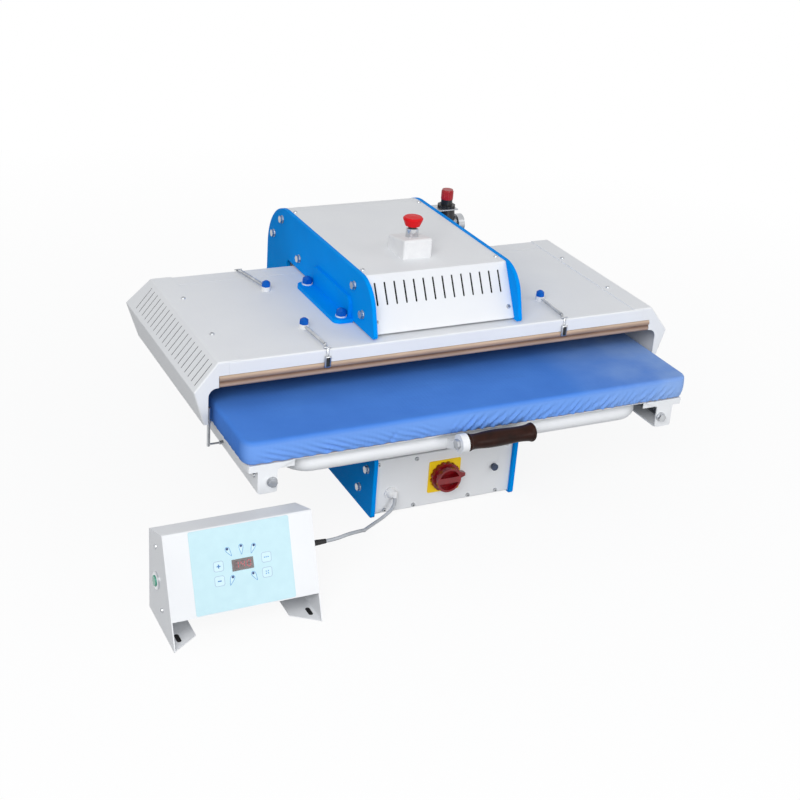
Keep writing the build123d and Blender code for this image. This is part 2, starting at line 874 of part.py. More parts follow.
with BuildPart() as heating_elements:
    element_left = -platen_half_width + element_end
    element_right = platen_half_width - element_return
    for front, back in element_runs:
        with BuildLine(Plane.XY.offset(platen_top + element_radius)) as hairpin:
            Line((element_left, front), (element_right, front))
            ThreePointArc(
                (element_right, front),
                (element_right + (back - front) / 2, (front + back) / 2),
                (element_right, back),
            )
            Line((element_right, back), (element_left, back))
        with BuildSketch(Plane(origin=hairpin.line @ 0, z_dir=(1, 0, 0))):
            Circle(element_radius)
        sweep(path=hairpin.line)
save(heating_elements, "heating_elements")

with BuildPart() as insulation_board:
    board_bottom = platen_top + 2 * element_radius + fit_gap
    with BuildSketch(Plane.XY.offset(board_bottom)):
        with Locations((0, cover_middle)):
            Rectangle(2 * (centre_cover_half - sheet), cover_depth - 2 * sheet - 1)
        with Locations(*main_posts):
            Circle(main_post_radius + fit_gap, mode=Mode.SUBTRACT)
        with Locations(*sheet_posts):
            Circle(sheet_post_radius + fit_gap, mode=Mode.SUBTRACT)
    extrude(amount=centre_cover_top - sheet - 2.5 - board_bottom)
save(insulation_board, "insulation_board")

with BuildPart() as ptfe_sheet:
    ptfe_front = cover_front + sheet + fit_gap
    ptfe_back = cover_back - sheet - fit_gap
    with BuildSketch(side_plane(-ptfe_half_width)):
        with BuildLine():
            folded_strip(
                [(ptfe_front, ptfe_hem_top), (ptfe_front, platen_face - ptfe_thickness),
                 (ptfe_back, platen_face - ptfe_thickness), (ptfe_back, ptfe_hem_top)],
                ptfe_thickness,
                fit_gap,
            )
        make_face()
    extrude(amount=2 * ptfe_half_width)
save(ptfe_sheet, "ptfe_sheet")

with BuildPart() as platen_posts:
    with BuildSketch(Plane.XY.offset(platen_top)):
        with Locations(*main_posts):
            Circle(main_post_radius)
    extrude(amount=bracket_bottom - platen_top)
    with BuildSketch(Plane.XY.offset(bracket_bottom)):
        with Locations(*main_posts):
            Circle(main_stud_radius)
    extrude(amount=bracket_thickness + washer_height + cap_height / 2)
    with BuildSketch(Plane.XY.offset(platen_top)):
        with Locations(*sheet_posts):
            Circle(sheet_post_radius)
    extrude(amount=centre_cover_top + spacer_height + cap_height / 2 - platen_top)
save(platen_posts, "platen_posts")


# folded cover over the middle of the heated plate
with BuildPart() as platen_cover:
    with BuildSketch(side_plane(-centre_cover_half)):
        with BuildLine():
            folded_strip(
                [(cover_back, lip_bottom), (cover_back, centre_cover_top),
                 (cover_front, centre_cover_top), (cover_front, lip_bottom)],
            )
        make_face()
    extrude(amount=2 * centre_cover_half)
    with BuildSketch(Plane.XY.offset(centre_cover_top)):
        with Locations(*main_posts):
            Circle(main_post_radius + fit_gap)
        with Locations(*sheet_posts):
            Circle(sheet_post_radius + fit_gap)
        with Locations(*cover_screw_points):
            Circle(small_screw_radius + screw_gap)
    extrude(amount=-sheet, mode=Mode.SUBTRACT)
    with BuildSketch(Plane.XY.offset(centre_cover_top)):
        with Locations((0, rear_step)):
            Rectangle(2 * centre_cover_half, 1.2)
    extrude(amount=-0.6, mode=Mode.SUBTRACT)
save(platen_cover, "platen_cover")


# folded end covers with their louvres
with BuildPart() as right_end_cover:
    with BuildSketch(front_plane(cover_front)):
        with BuildLine():
            Polyline(
                (end_cover_seam, end_foot_z),
                (end_foot_half, end_foot_z),
                (end_waist_half, end_waist_z),
                (end_top_half, cover_top),
                (end_cover_seam, cover_top),
                close=True,
            )
        make_face()
    extrude(amount=-(end_waist_back - cover_front))
    with BuildSketch(side_plane(end_cover_seam)):
        with BuildLine():
            Polyline(
                (cover_front, end_foot_z),
                (end_foot_back, end_foot_z),
                (end_waist_back, end_waist_z),
                (cover_back, cover_top),
                (cover_front, cover_top),
                close=True,
            )
        make_face()
    extrude(amount=end_waist_half - end_cover_seam, mode=Mode.INTERSECT)
    seam_face = right_end_cover.faces().sort_by(Axis.X)[0]
    foot_face = right_end_cover.faces().sort_by(Axis.Z)[0]
    open_edges = seam_face.edges() + foot_face.edges()
    fillet([edge for edge in right_end_cover.edges() if edge not in open_edges], radius=end_fold_radius)
    offset(amount=-sheet, openings=right_end_cover.faces().sort_by(Axis.X)[0])
    with BuildSketch(Plane.XY.offset(end_foot_z)):
        with BuildLine():
            Polyline(
                (end_cover_seam - 1, cover_front + sheet),
                (end_mouth_half, cover_front + sheet),
                (end_mouth_half, end_foot_back - sheet),
                (end_cover_seam - 1, end_foot_back - sheet),
                close=True,
            )
        make_face()
    extrude(amount=2 * sheet, mode=Mode.SUBTRACT)
    with BuildSketch(front_plane(cover_front - 1)):
        with BuildLine():
            FilletPolyline(
                (end_cover_seam - 1, end_foot_z - 1),
                (end_mouth_half, end_foot_z - 1),
                (end_mouth_half, end_mouth_top),
                (end_mouth_half - end_mouth_step, end_mouth_top),
                (end_mouth_half - end_mouth_step, lip_bottom),
                (end_cover_seam - 1, lip_bottom),
                radius=[0, 0, end_mouth_radius, 0, 0, 0],
                close=True,
            )
        make_face()
    extrude(amount=-(end_waist_back - cover_front + 2), mode=Mode.SUBTRACT)
    with BuildSketch(front_plane(cover_front - 1)):
        with Locations(((end_cover_seam + centre_cover_half + fit_gap) / 2, centre_cover_top - 25)):
            Rectangle(centre_cover_half + fit_gap - end_cover_seam + 0.01, 50)
    extrude(amount=-(end_waist_back - cover_front + 2), mode=Mode.SUBTRACT)
    with BuildSketch(Plane.XY.offset(cover_top)):
        with Locations(*cover_screw_points):
            Circle(small_screw_radius + screw_gap)
    extrude(amount=-sheet, mode=Mode.SUBTRACT)
    bevel_run = Vector(end_waist_half - end_top_half, 0, end_waist_z - cover_top)
    bevel_normal = Vector(-bevel_run.Z, 0, bevel_run.X).normalized()
    bevel = Plane(
        origin=Vector(end_top_half, 0, cover_top) + bevel_run / 2,
        x_dir=(0, 1, 0),
        z_dir=bevel_normal,
    )
    louvre_places = [(louvre_first + louvre_pitch * count, 0) for count in range(louvre_count)]
    with BuildSketch(bevel):
        with Locations(*louvre_places):
            SlotOverall(louvre_length, louvre_width, rotation=90)
    extrude(amount=-2 * sheet, mode=Mode.SUBTRACT)
save(right_end_cover, "right_end_cover")

with BuildPart() as left_end_cover:
    add(right_end_cover.part.mirror(Plane.YZ), clean=False)
save(left_end_cover, "left_end_cover")


# brackets that hang the heated plate from the side plates
with BuildPart() as platen_brackets:
    for side in (-1, 1):
        with BuildSketch(Plane.XY.offset(bracket_bottom)):
            with BuildLine():
                FilletPolyline(
                    (side * frame_half_width, bracket_front),
                    (side * (frame_half_width + bracket_reach), bracket_front),
                    (side * (frame_half_width + bracket_reach), bracket_back),
                    (side * frame_half_width, bracket_back),
                    radius=[0, bracket_corner, bracket_corner, 0],
                    close=True,
                )
            make_face()
        extrude(amount=bracket_thickness)
        with BuildSketch(side_plane(side * frame_half_width)):
            with BuildLine():
                FilletPolyline(
                    (bracket_front + 10, bracket_bottom),
                    (bracket_back - 10, bracket_bottom),
                    (bracket_back - 10, bracket_bottom + bracket_height),
                    (bracket_front + 10, bracket_bottom + bracket_height),
                    radius=[0, 0, bracket_corner, bracket_corner],
                    close=True,
                )
            make_face()
        extrude(amount=side * bracket_leg_thickness)
    with BuildSketch(Plane.XY.offset(bracket_bottom)):
        with Locations(*main_posts):
            Circle(main_stud_radius + screw_gap)
    extrude(amount=bracket_thickness, mode=Mode.SUBTRACT)
save(platen_brackets, "platen_brackets")


# dome caps on the posts and the spacers under them
main_caps = [(point, bracket_bottom + bracket_thickness, washer_height) for point in main_posts]
sheet_caps = [(point, centre_cover_top, spacer_height) for point in sheet_posts]

with BuildPart() as cap_spacers:
    for point, floor, height in main_caps + sheet_caps:
        with BuildSketch(Plane.XY.offset(floor)):
            with Locations(point):
                Circle(washer_radius if height == spacer_height else main_cap_radius + 0.5)
                Circle(main_stud_radius + screw_gap, mode=Mode.SUBTRACT)
        extrude(amount=height)
save(cap_spacers, "cap_spacers")

with BuildPart() as dome_caps:
    for point, floor, height in main_caps + sheet_caps:
        over_spacer = height == spacer_height
        radius = cap_radius if over_spacer else main_cap_radius
        tall = cap_height if over_spacer else main_cap_height
        dome_radius = radius - 0.8
        with BuildSketch(Plane.XY.offset(floor + height)):
            with Locations(point):
                RegularPolygon(radius + 0.3, 6)
        extrude(amount=tall * 0.4)
        with BuildSketch(Plane.XY.offset(floor + height + tall * 0.4)):
            with Locations(point):
                Circle(dome_radius)
        extrude(amount=tall * 0.6 - dome_radius)
        with Locations((point[0], point[1], floor + height + tall - dome_radius)):
            Sphere(dome_radius, arc_size1=0)
        with BuildSketch(Plane.XY.offset(floor + height)):
            with Locations(point):
                Circle(main_stud_radius + screw_gap)
        extrude(amount=cap_height / 2 + 0.3, mode=Mode.SUBTRACT)
save(dome_caps, "dome_caps")


# springs and buckles that keep the coated sheet tight
with BuildPart() as sheet_tensioners:
    spring_z = centre_cover_top + spring_height
    for side in (-1, 1):
        for post, front in zip(sheet_post_points[::-1], (True, False)):
            way = -1 if front else 1
            edge = cover_front - fit_gap if front else cover_back + fit_gap
            clip_x = side * (post[0] + (-4.5 if front else 18))
            hook_y = edge - way * clip_hook_run
            start = Vector(side * post[0], post[1] + way * (washer_radius + 1), spring_z)
            end = Vector(clip_x, hook_y, spring_z)
            with BuildSketch(Plane(origin=start, z_dir=end - start)):
                Circle(spring_radius)
            extrude(amount=(end - start).length)
            strap = [(hook_y, spring_z - 1), (edge, spring_z - 1), (edge, clip_foot_z)]
            with BuildSketch(side_plane(clip_x - clip_width / 2)):
                with BuildLine():
                    folded_strip(strap[::-1] if front else strap, clip_thickness, 0.6)
                make_face()
            extrude(amount=clip_width)
            with BuildSketch(side_plane(clip_x - hook_bar_length / 2)):
                with Locations((edge - way * 2 * hook_bar_radius, spring_z)):
                    Circle(hook_bar_radius)
            extrude(amount=hook_bar_length)
            with BuildSketch(front_plane(edge)):
                with Locations((clip_x, clip_foot_z + buckle_height / 2)):
                    RectangleRounded(buckle_width, buckle_height, 1.5)
            extrude(amount=-way * buckle_thickness)
save(sheet_tensioners, "sheet_tensioners")


# sensing pin under the left end cover
with BuildPart() as tray_sensor:
    sensor_x = -(end_mouth_half - sensor_rod_radius - fit_gap)
    sensor_y = cover_front + 6
    pin_z = sensor_bottom + sensor_rod_radius
    with BuildSketch(Plane.XY.offset(sensor_bottom)):
        with Locations((sensor_x, sensor_y)):
            Circle(sensor_rod_radius)
    extrude(amount=end_foot_z + sensor_overlap - sensor_bottom)
    with BuildSketch(Plane.XY.offset(end_foot_z + sheet)):
        with Locations((sensor_x, sensor_y)):
            RegularPolygon(sensor_nut_radius, 6)
    extrude(amount=5)
    with BuildSketch(Plane(origin=(sensor_x, sensor_y, pin_z), z_dir=(1, 0, 0))):
        Circle(sensor_pin_radius)
    extrude(amount=sensor_pin_length)
    with BuildSketch(Plane(origin=(sensor_x + sensor_pin_length - 4, sensor_y, pin_z), z_dir=(1, 0, 0))):
        Circle(sensor_pin_radius + 1.7)
    extrude(amount=7)
save(tray_sensor, "tray_sensor")


# folded cover of the head between the side plates
with BuildPart() as head_cover:
    cover_half = plate_inner - fit_gap
    with BuildSketch(side_plane(-cover_half)):
        with BuildLine():
            folded_strip(
                [(head_seam - fit_gap, head_top), (head_panel_top, head_top),
                 (head_panel_foot, head_panel_foot_z), (head_panel_foot + head_return, head_panel_foot_z)],
            )
        make_face()
    extrude(amount=2 * cover_half)
    with BuildSketch(head_slope):
        with Locations(head_slot_middle):
            with GridLocations(head_slot_pitch, 0, head_slot_count, 1):
                SlotOverall(head_slot_length, head_slot_width, rotation=90)
        with Locations(*panel_slope_screws):
            Circle(small_screw_radius + screw_gap)
    extrude(amount=-2 * sheet, mode=Mode.SUBTRACT)
    with BuildSketch(Plane.XY.offset(head_top)):
        with Locations(*head_screw_points):
            Circle(small_screw_radius + screw_gap)
    extrude(amount=-2 * sheet, mode=Mode.SUBTRACT)
save(head_cover, "head_cover")


# rear cover, which wraps round the back of the frame
with BuildPart() as rear_cover:
    rear_radius = rear_face - head_seam - 2
    with BuildSketch(side_plane(-cover_half)):
        with BuildLine():
            folded_strip(
                [(rear_face, panel_bottom + pan_thickness), (rear_face, head_top), (head_seam, head_top)],
                sheet,
                rear_radius - sheet,
            )
        make_face()
    extrude(amount=2 * cover_half)
    with BuildSketch(front_plane(rear_face)):
        with Locations((0, 260)):
            with GridLocations(head_slot_pitch, 0, head_slot_count - 4, 1):
                SlotOverall(head_slot_length, head_slot_width, rotation=90)
        with Locations(mains_gland):
            Circle(gland_hole_radius + fit_gap)
    extrude(amount=2 * sheet, both=True, mode=Mode.SUBTRACT)
save(rear_cover, "rear_cover")


# bottom pan with its four bench holes
with BuildPart() as base_bottom_plate:
    with BuildSketch(Plane.XY):
        Rectangle(2 * cover_half, 2 * pan_half_depth)
        with GridLocations(2 * bench_hole_x, 2 * bench_hole_y, 2, 2):
            Circle(bench_hole_radius, mode=Mode.SUBTRACT)
    extrude(amount=pan_thickness)
save(base_bottom_plate, "base_bottom_plate")


# front panel of the base
with BuildPart() as base_front_panel:
    with BuildSketch(side_plane(-cover_half)):
        with BuildLine():
            folded_strip(
                [(panel_face + panel_flange, panel_top), (panel_face, panel_top),
                 (panel_face, panel_bottom), (panel_face + panel_flange, panel_bottom)],
            )
        make_face()
    extrude(amount=2 * cover_half)
    with BuildSketch(front_plane(panel_face)):
        with Locations(*panel_screw_points):
            Circle(small_screw_radius + screw_gap)
        with Locations((switch_x, switch_z)):
            Circle(switch_shaft_radius + 1)
        with Locations((reset_x, reset_z)):
            Circle(reset_radius - 1.8)
        with Locations((gland_x, gland_z)):
            Circle(gland_hole_radius + fit_gap)
    extrude(amount=-2 * sheet, mode=Mode.SUBTRACT)
save(base_front_panel, "base_front_panel")


# rotary main switch: plate and knob
with BuildPart() as switch_plate:
    with BuildSketch(front_plane(panel_face)):
        with Locations((switch_x, switch_z)):
            RectangleRounded(switch_plate_size, switch_plate_size, 3)
            Circle(switch_shaft_radius + 1, mode=Mode.SUBTRACT)
    extrude(amount=switch_plate_thickness)
save(switch_plate, "switch_plate")

with BuildPart() as switch_knob:
    knob_floor = panel_face - switch_plate_thickness - fit_gap
    with BuildSketch(front_plane(knob_floor)):
        with Locations((switch_x, switch_z)):
            Circle(switch_disc_radius)
            with PolarLocations(switch_disc_radius + 1.5, 16):
                Circle(3.6, mode=Mode.SUBTRACT)
        with BuildLine():
            Polyline(
                (switch_x + switch_disc_radius - 8, switch_z - 10),
                (switch_x + switch_nose, switch_z - 3),
                (switch_x + switch_nose, switch_z + 3),
                (switch_x + switch_disc_radius - 8, switch_z + 10),
                close=True,
            )
        make_face()
    extrude(amount=switch_disc_height)
    with BuildSketch(front_plane(knob_floor - switch_disc_height)):
        with Locations((switch_x, switch_z)):
            Circle(switch_cup_radius)
            Circle(switch_cup_radius - 4, mode=Mode.SUBTRACT)
            Rectangle(2 * switch_cup_radius - 6, 12)
    extrude(amount=switch_cup_height)
    with BuildSketch(front_plane(knob_floor)):
        with Locations((switch_x, switch_z)):
            Circle(switch_shaft_radius)
    extrude(amount=-20)
save(switch_knob, "switch_knob")


# black switch bodies behind the knob, the reset button, the stop button and the start button
with BuildPart() as switch_bodies:
    body_front = panel_face + sheet + 0.5
    with BuildSketch(front_plane(body_front)):
        with Locations((switch_x, switch_z)):
            RectangleRounded(switch_body_size, switch_body_size * 0.6, 3)
            Circle(switch_shaft_radius + running_gap, mode=Mode.SUBTRACT)
    extrude(amount=-switch_body_depth)
    with BuildSketch(front_plane(body_front)):
        with Locations((reset_x, reset_z)):
            RectangleRounded(24, 28, 3)
            Circle(reset_radius - 2 + running_gap, mode=Mode.SUBTRACT)
    extrude(amount=-26)
    with BuildSketch(Plane.XY.offset(head_top + fit_gap)):
        with Locations((estop_x, estop_y)):
            RectangleRounded(30, 34, 3)
    extrude(amount=estop_collar_bottom - head_top - 6)
    with BuildSketch(side_plane(case_left + start_collar_depth + 0.3)):
        with Locations((start_y, start_z)):
            RectangleRounded(26, 26, 3)
    extrude(amount=20)
save(switch_bodies, "switch_bodies")

with BuildPart() as reset_button:
    with BuildSketch(front_plane(panel_face - 3)):
        with Locations((reset_x, reset_z)):
            Circle(reset_radius)
    extrude(amount=6)
    fillet(reset_button.faces().sort_by(Axis.Y)[0].edges(), radius=1.2)
    with BuildSketch(front_plane(panel_face - 3)):
        with Locations((reset_x, reset_z)):
            Circle(reset_radius - 2)
    extrude(amount=-20)
save(reset_button, "reset_button")


# emergency stop: box, chrome collar, stem and mushroom head
with BuildPart() as estop_box:
    with BuildSketch(side_plane(estop_box_middle - estop_box_width / 2)):
        with BuildLine():
            Polyline(
                (estop_box_front, head_top),
                (estop_box_back, head_top),
                (estop_box_back, estop_box_back_z),
                (estop_box_front, estop_box_front_z),
                close=True,
            )
        make_face()
    extrude(amount=estop_box_width)
    box_floor = estop_box.faces().sort_by(Axis.Z)[0]
    fillet([edge for edge in estop_box.edges() if edge not in box_floor.edges()], radius=estop_box_round)
    offset(amount=-2, openings=estop_box.faces().sort_by(Axis.Z)[0])
    with BuildSketch(Plane.XY.offset(estop_collar_top)):
        with Locations((estop_x, estop_y)):
            Circle(estop_collar_radius + fit_gap)
    extrude(amount=-(estop_collar_top - head_top - 6), mode=Mode.SUBTRACT)
save(estop_box, "estop_box")

with BuildPart() as button_collars:
    with BuildSketch(Plane.XY.offset(estop_collar_bottom)):
        with Locations((estop_x, estop_y)):
            Circle(estop_collar_radius)
            Circle(estop_stem_radius + running_gap, mode=Mode.SUBTRACT)
    extrude(amount=estop_collar_top - estop_collar_bottom)
    with BuildSketch(side_plane(case_left)):
        with Locations((start_y, start_z)):
            Circle(start_bezel_radius)
            Circle(start_radius + running_gap, mode=Mode.SUBTRACT)
    extrude(amount=-4)
    chamfer(button_collars.faces().sort_by(Axis.X)[0].outer_wire().edges(), length=1.5)
    with BuildSketch(side_plane(case_left)):
        with Locations((start_y, start_z)):
            Circle(start_radius + 1.5)
            Circle(start_radius + running_gap, mode=Mode.SUBTRACT)
    extrude(amount=start_collar_depth)
save(button_collars, "button_collars")

with BuildPart() as estop_stem:
    with BuildSketch(Plane.XY.offset(estop_collar_bottom)):
        with Locations((estop_x, estop_y)):
            Circle(estop_stem_radius)
    extrude(amount=estop_head_bottom + 7 - estop_collar_bottom)
save(estop_stem, "estop_stem")

with BuildPart() as estop_head:
    with BuildSketch(Plane.XZ.offset(-estop_y)):
        with BuildLine():
            Polyline(
                (estop_x + 2, estop_head_top),
                (estop_x, estop_head_top),
                (estop_x, estop_head_bottom + 7 + running_gap),
                (estop_x + estop_stem_radius + running_gap, estop_head_bottom + 7 + running_gap),
                (estop_x + estop_stem_radius + running_gap, estop_head_bottom),
                (estop_x + estop_neck_radius, estop_head_bottom),
                (estop_x + estop_head_radius, estop_head_rim_z - 1.5),
                (estop_x + estop_head_radius, estop_head_rim_z + 0.5),
                (estop_x + estop_head_radius - 2.5, estop_head_rim_z + 3),
            )
            ThreePointArc(
                (estop_x + estop_head_radius - 2.5, estop_head_rim_z + 3),
                (estop_x + estop_head_radius * 0.5, estop_head_top - 0.7),
                (estop_x + 2, estop_head_top),
            )
        make_face()
    revolve(axis=Axis((estop_x, estop_y, 0), (0, 0, 1)))
save(estop_head, "estop_head")


# air regulator with its gauge
with BuildPart() as regulator_bracket:
    shelf_top = regulator_shelf + regulator_shelf_sheet
    body_middle = (regulator_body_top + regulator_body_bottom) / 2
    with BuildSketch(front_plane(regulator_y - regulator_shelf_half)):
        with BuildLine():
            folded_strip(
                [(regulator_x + regulator_shelf_reach, shelf_top), (frame_half_width, shelf_top),
                 (frame_half_width, regulator_shelf - regulator_leg)],
                regulator_shelf_sheet,
            )
        make_face()
    extrude(amount=-2 * regulator_shelf_half)
    with BuildSketch(Plane.XY.offset(regulator_shelf)):
        with Locations((regulator_x, regulator_y)):
            Circle(regulator_thread_radius + fit_gap)
    extrude(amount=regulator_shelf_sheet, mode=Mode.SUBTRACT)
    with BuildSketch(side_plane(frame_half_width)):
        with Locations((regulator_y, body_middle)):
            Circle(port_radius + 1)
    extrude(amount=regulator_shelf_sheet, mode=Mode.SUBTRACT)
save(regulator_bracket, "regulator_bracket")

with BuildPart() as regulator_bonnet:
    bonnet_height = regulator_shelf - regulator_body_top - fit_gap
    thread_height = regulator_shelf - regulator_body_top + regulator_shelf_sheet + 2
    with Locations((regulator_x, regulator_y, regulator_body_top)):
        Cone(20, 18, bonnet_height, align=(Align.CENTER, Align.CENTER, Align.MIN))
        Cylinder(regulator_thread_radius, thread_height, align=(Align.CENTER, Align.CENTER, Align.MIN))
    with BuildSketch(Plane.XY.offset(shelf_top)):
        with Locations((regulator_x, regulator_y)):
            Circle(regulator_ring_radius)
            with PolarLocations(regulator_ring_radius + 1, 12):
                Circle(2, mode=Mode.SUBTRACT)
    extrude(amount=regulator_ring_height)
    with BuildSketch(Plane.XY.offset(shelf_top + regulator_ring_height)):
        with Locations((regulator_x, regulator_y)):
            Circle(regulator_neck_radius)
    extrude(amount=regulator_knob_bottom - fit_gap - shelf_top - regulator_ring_height)
    with BuildSketch(Plane.XY.offset(regulator_knob_bottom - fit_gap)):
        with Locations((regulator_x, regulator_y)):
            Circle(regulator_knob_stem + running_gap)
    extrude(amount=-16, mode=Mode.SUBTRACT)
save(regulator_bonnet, "regulator_bonnet")

with BuildPart() as regulator_knob:
    with BuildSketch(Plane.XY.offset(regulator_knob_bottom)):
        with Locations((regulator_x, regulator_y)):
            Circle(regulator_knob_radius)
            with PolarLocations(regulator_knob_radius + 0.6, 18):
                Circle(1.3, mode=Mode.SUBTRACT)
    extrude(amount=regulator_knob_top - regulator_knob_bottom - 3)
    with BuildSketch(Plane.XY.offset(regulator_knob_top - 3)):
        with Locations((regulator_x, regulator_y)):
            Circle(regulator_knob_radius - 0.8)
    extrude(amount=3, taper=12)
    with BuildSketch(Plane.XY.offset(regulator_knob_bottom)):
        with Locations((regulator_x, regulator_y)):
            Circle(regulator_knob_stem)
    extrude(amount=-15)
save(regulator_knob, "regulator_knob")

with BuildPart() as regulator_body:
    with BuildSketch(Plane.XY.offset(regulator_body_bottom)):
        with Locations((regulator_x, regulator_y)):
            RectangleRounded(2 * regulator_body_half, 2 * regulator_body_half, 5)
    extrude(amount=regulator_body_top - regulator_body_bottom)
    with BuildSketch(side_plane(regulator_x - regulator_body_half)):
        with Locations((regulator_y, body_middle)):
            Circle(6.5)
    extrude(amount=-(regulator_x - regulator_body_half - frame_half_width))
    with BuildSketch(side_plane(regulator_x - regulator_body_half)):
        with Locations((regulator_y, body_middle)):
            RegularPolygon(9.5, 6, major_radius=False)
    extrude(amount=-8)
    with BuildSketch(front_plane(regulator_y + regulator_body_half)):
        with Locations((regulator_x, body_middle)):
            Circle(port_radius)
    extrude(amount=port_depth, mode=Mode.SUBTRACT)
    with BuildSketch(Plane.XY.offset(regulator_body_bottom)):
        with Locations((regulator_x, regulator_y)):
            Circle(9)
    extrude(amount=-6)
save(regulator_body, "regulator_body")

with BuildPart() as pressure_gauge:
    with BuildSketch(side_plane(regulator_x + regulator_body_half)):
        with Locations((regulator_y, body_middle)):
            Circle(5.5)
    extrude(amount=gauge_left - regulator_x - regulator_body_half)
    with BuildSketch(side_plane(gauge_left)):
        with Locations((regulator_y, body_middle)):
            Circle(gauge_radius)
    extrude(amount=gauge_depth)
    with BuildSketch(side_plane(gauge_left + gauge_depth)):
        with Locations((regulator_y, body_middle)):
            Circle(gauge_radius - gauge_rim)
    extrude(amount=-gauge_recess, mode=Mode.SUBTRACT)
    with BuildSketch(side_plane(gauge_left + gauge_depth - gauge_recess)):
        with Locations((regulator_y, body_middle)):
            Circle(gauge_pin_radius + running_gap)
    extrude(amount=-4, mode=Mode.SUBTRACT)
save(pressure_gauge, "pressure_gauge")

with BuildPart() as gauge_needle:
    with BuildSketch(side_plane(gauge_left + gauge_depth - 2)):
        with Locations((regulator_y, body_middle)):
            Circle(2.2)
        with BuildLine():
            Polyline(
                (regulator_y + 0.9, body_middle + 0.9),
                (regulator_y - 0.9, body_middle - 0.9),
                (regulator_y - 11.5, body_middle + 10.5),
                (regulator_y - 10.5, body_middle + 11.5),
                close=True,
            )
        make_face()
    extrude(amount=0.8)
    with BuildSketch(side_plane(gauge_left + gauge_depth - 2)):
        with Locations((regulator_y, body_middle)):
            Circle(gauge_pin_radius)
    extrude(amount=-4)
save(gauge_needle, "gauge_needle")


# controller case: side plates with feet, and the folded panel between them
with BuildPart() as controller_case:
    for side, wall_x in ((1, case_left), (-1, case_right)):
        with BuildSketch(side_plane(wall_x)):
            with BuildLine():
                FilletPolyline(
                    (case_top_back[0], 0),
                    case_top_back,
                    case_top_front,
                    (case_toe, 0),
                    radius=[2, 3, 6, 2],
                    close=True,
                )
            make_face()
        extrude(amount=side * case_sheet)
        with BuildSketch(Plane.XY):
            with BuildLine():
                Polyline(
                    (wall_x, case_top_back[0]),
                    (wall_x + side * case_foot_width, case_top_back[0]),
                    (wall_x + side * case_foot_width, case_toe + case_foot_chamfer),
                    (wall_x, case_toe + 2),
                    close=True,
                )
            make_face()
        extrude(amount=case_sheet)
    with BuildSketch(Plane.XY):
        left_slots = [(case_left + 16, -527), (case_left + 16, -447)]
        right_slots = [(case_right - 11, -529), (case_right - 11, -447)]
        with Locations(*left_slots, *right_slots):
            SlotOverall(22, 8, rotation=90)
    extrude(amount=case_sheet, mode=Mode.SUBTRACT)
    case_panel_foot = (
        case_top_front[0] - case_panel_length * sin(radians(case_lean)),
        case_top_front[1] - case_panel_length * cos(radians(case_lean)),
    )
    with BuildSketch(side_plane(case_left)):
        with BuildLine():
            folded_strip([case_top_back, case_top_front, case_panel_foot], case_sheet, bend)
        make_face()
    extrude(amount=case_right - case_left)
    with BuildSketch(side_plane(case_left)):
        with Locations(*case_screw_points):
            Circle(small_screw_radius + screw_gap)
        with Locations((start_y, start_z)):
            Circle(start_radius + 1.8)
    extrude(amount=case_sheet, mode=Mode.SUBTRACT)
    with BuildSketch(side_plane(case_right)):
        with Locations(*case_screw_points):
            Circle(small_screw_radius + screw_gap)
        with Locations((relief_y, relief_z)):
            Circle(6.3)
    extrude(amount=-case_sheet, mode=Mode.SUBTRACT)
save(controller_case, "controller_case")

with BuildPart() as controller_back:
    back_floor = case_panel_foot[1] + 1
    with BuildSketch(side_plane(case_left + case_sheet + fit_gap)):
        with BuildLine():
            folded_strip(
                [(case_panel_foot[0] + 4, back_floor), (case_top_back[0], back_floor),
                 (case_top_back[0], case_top_back[1] - case_sheet - 1)],
                sheet,
            )
        make_face()
    extrude(amount=case_right - case_left - 2 * (case_sheet + fit_gap))
save(controller_back, "controller_back")

with BuildPart() as control_overlay:
    with BuildSketch(case_slope):
        with Locations((0, -2 - overlay_height / 2)):
            RectangleRounded(overlay_width, overlay_height, 3)
    extrude(amount=overlay_thickness)
    with BuildSketch(case_slope.offset(overlay_thickness)):
        with Locations(display_place):
            RectangleRounded(display_size[0], display_size[1], 1)
    extrude(amount=0.5)
save(control_overlay, "control_overlay")

with BuildPart() as start_button:
    with BuildSketch(side_plane(case_left - 5.5)):
        with Locations((start_y, start_z)):
            Circle(start_radius)
    extrude(amount=22)
    fillet(start_button.faces().sort_by(Axis.X)[0].edges(), radius=1)
save(start_button, "start_button")


# strain relief, control cable and glands
with BuildPart() as strain_relief:
    with BuildSketch(side_plane(case_right)):
        with Locations((relief_y, relief_z)):
            Circle(9)
    extrude(amount=3)
    with BuildSketch(side_plane(case_right - 8)):
        with Locations((relief_y, relief_z)):
            Circle(6)
    extrude(amount=8)
    with BuildSketch(side_plane(case_right + 3)):
        with Locations((relief_y, relief_z)):
            Circle(6.2)
    extrude(amount=relief_length - 3, taper=3.2)
    for ring in range(6):
        with Locations(Location((case_right + 9 + ring * 5.5, relief_y, relief_z), (0, 90, 0))):
            Torus(6.8 - ring * 0.31, 1, mode=Mode.SUBTRACT)
save(strain_relief, "strain_relief")

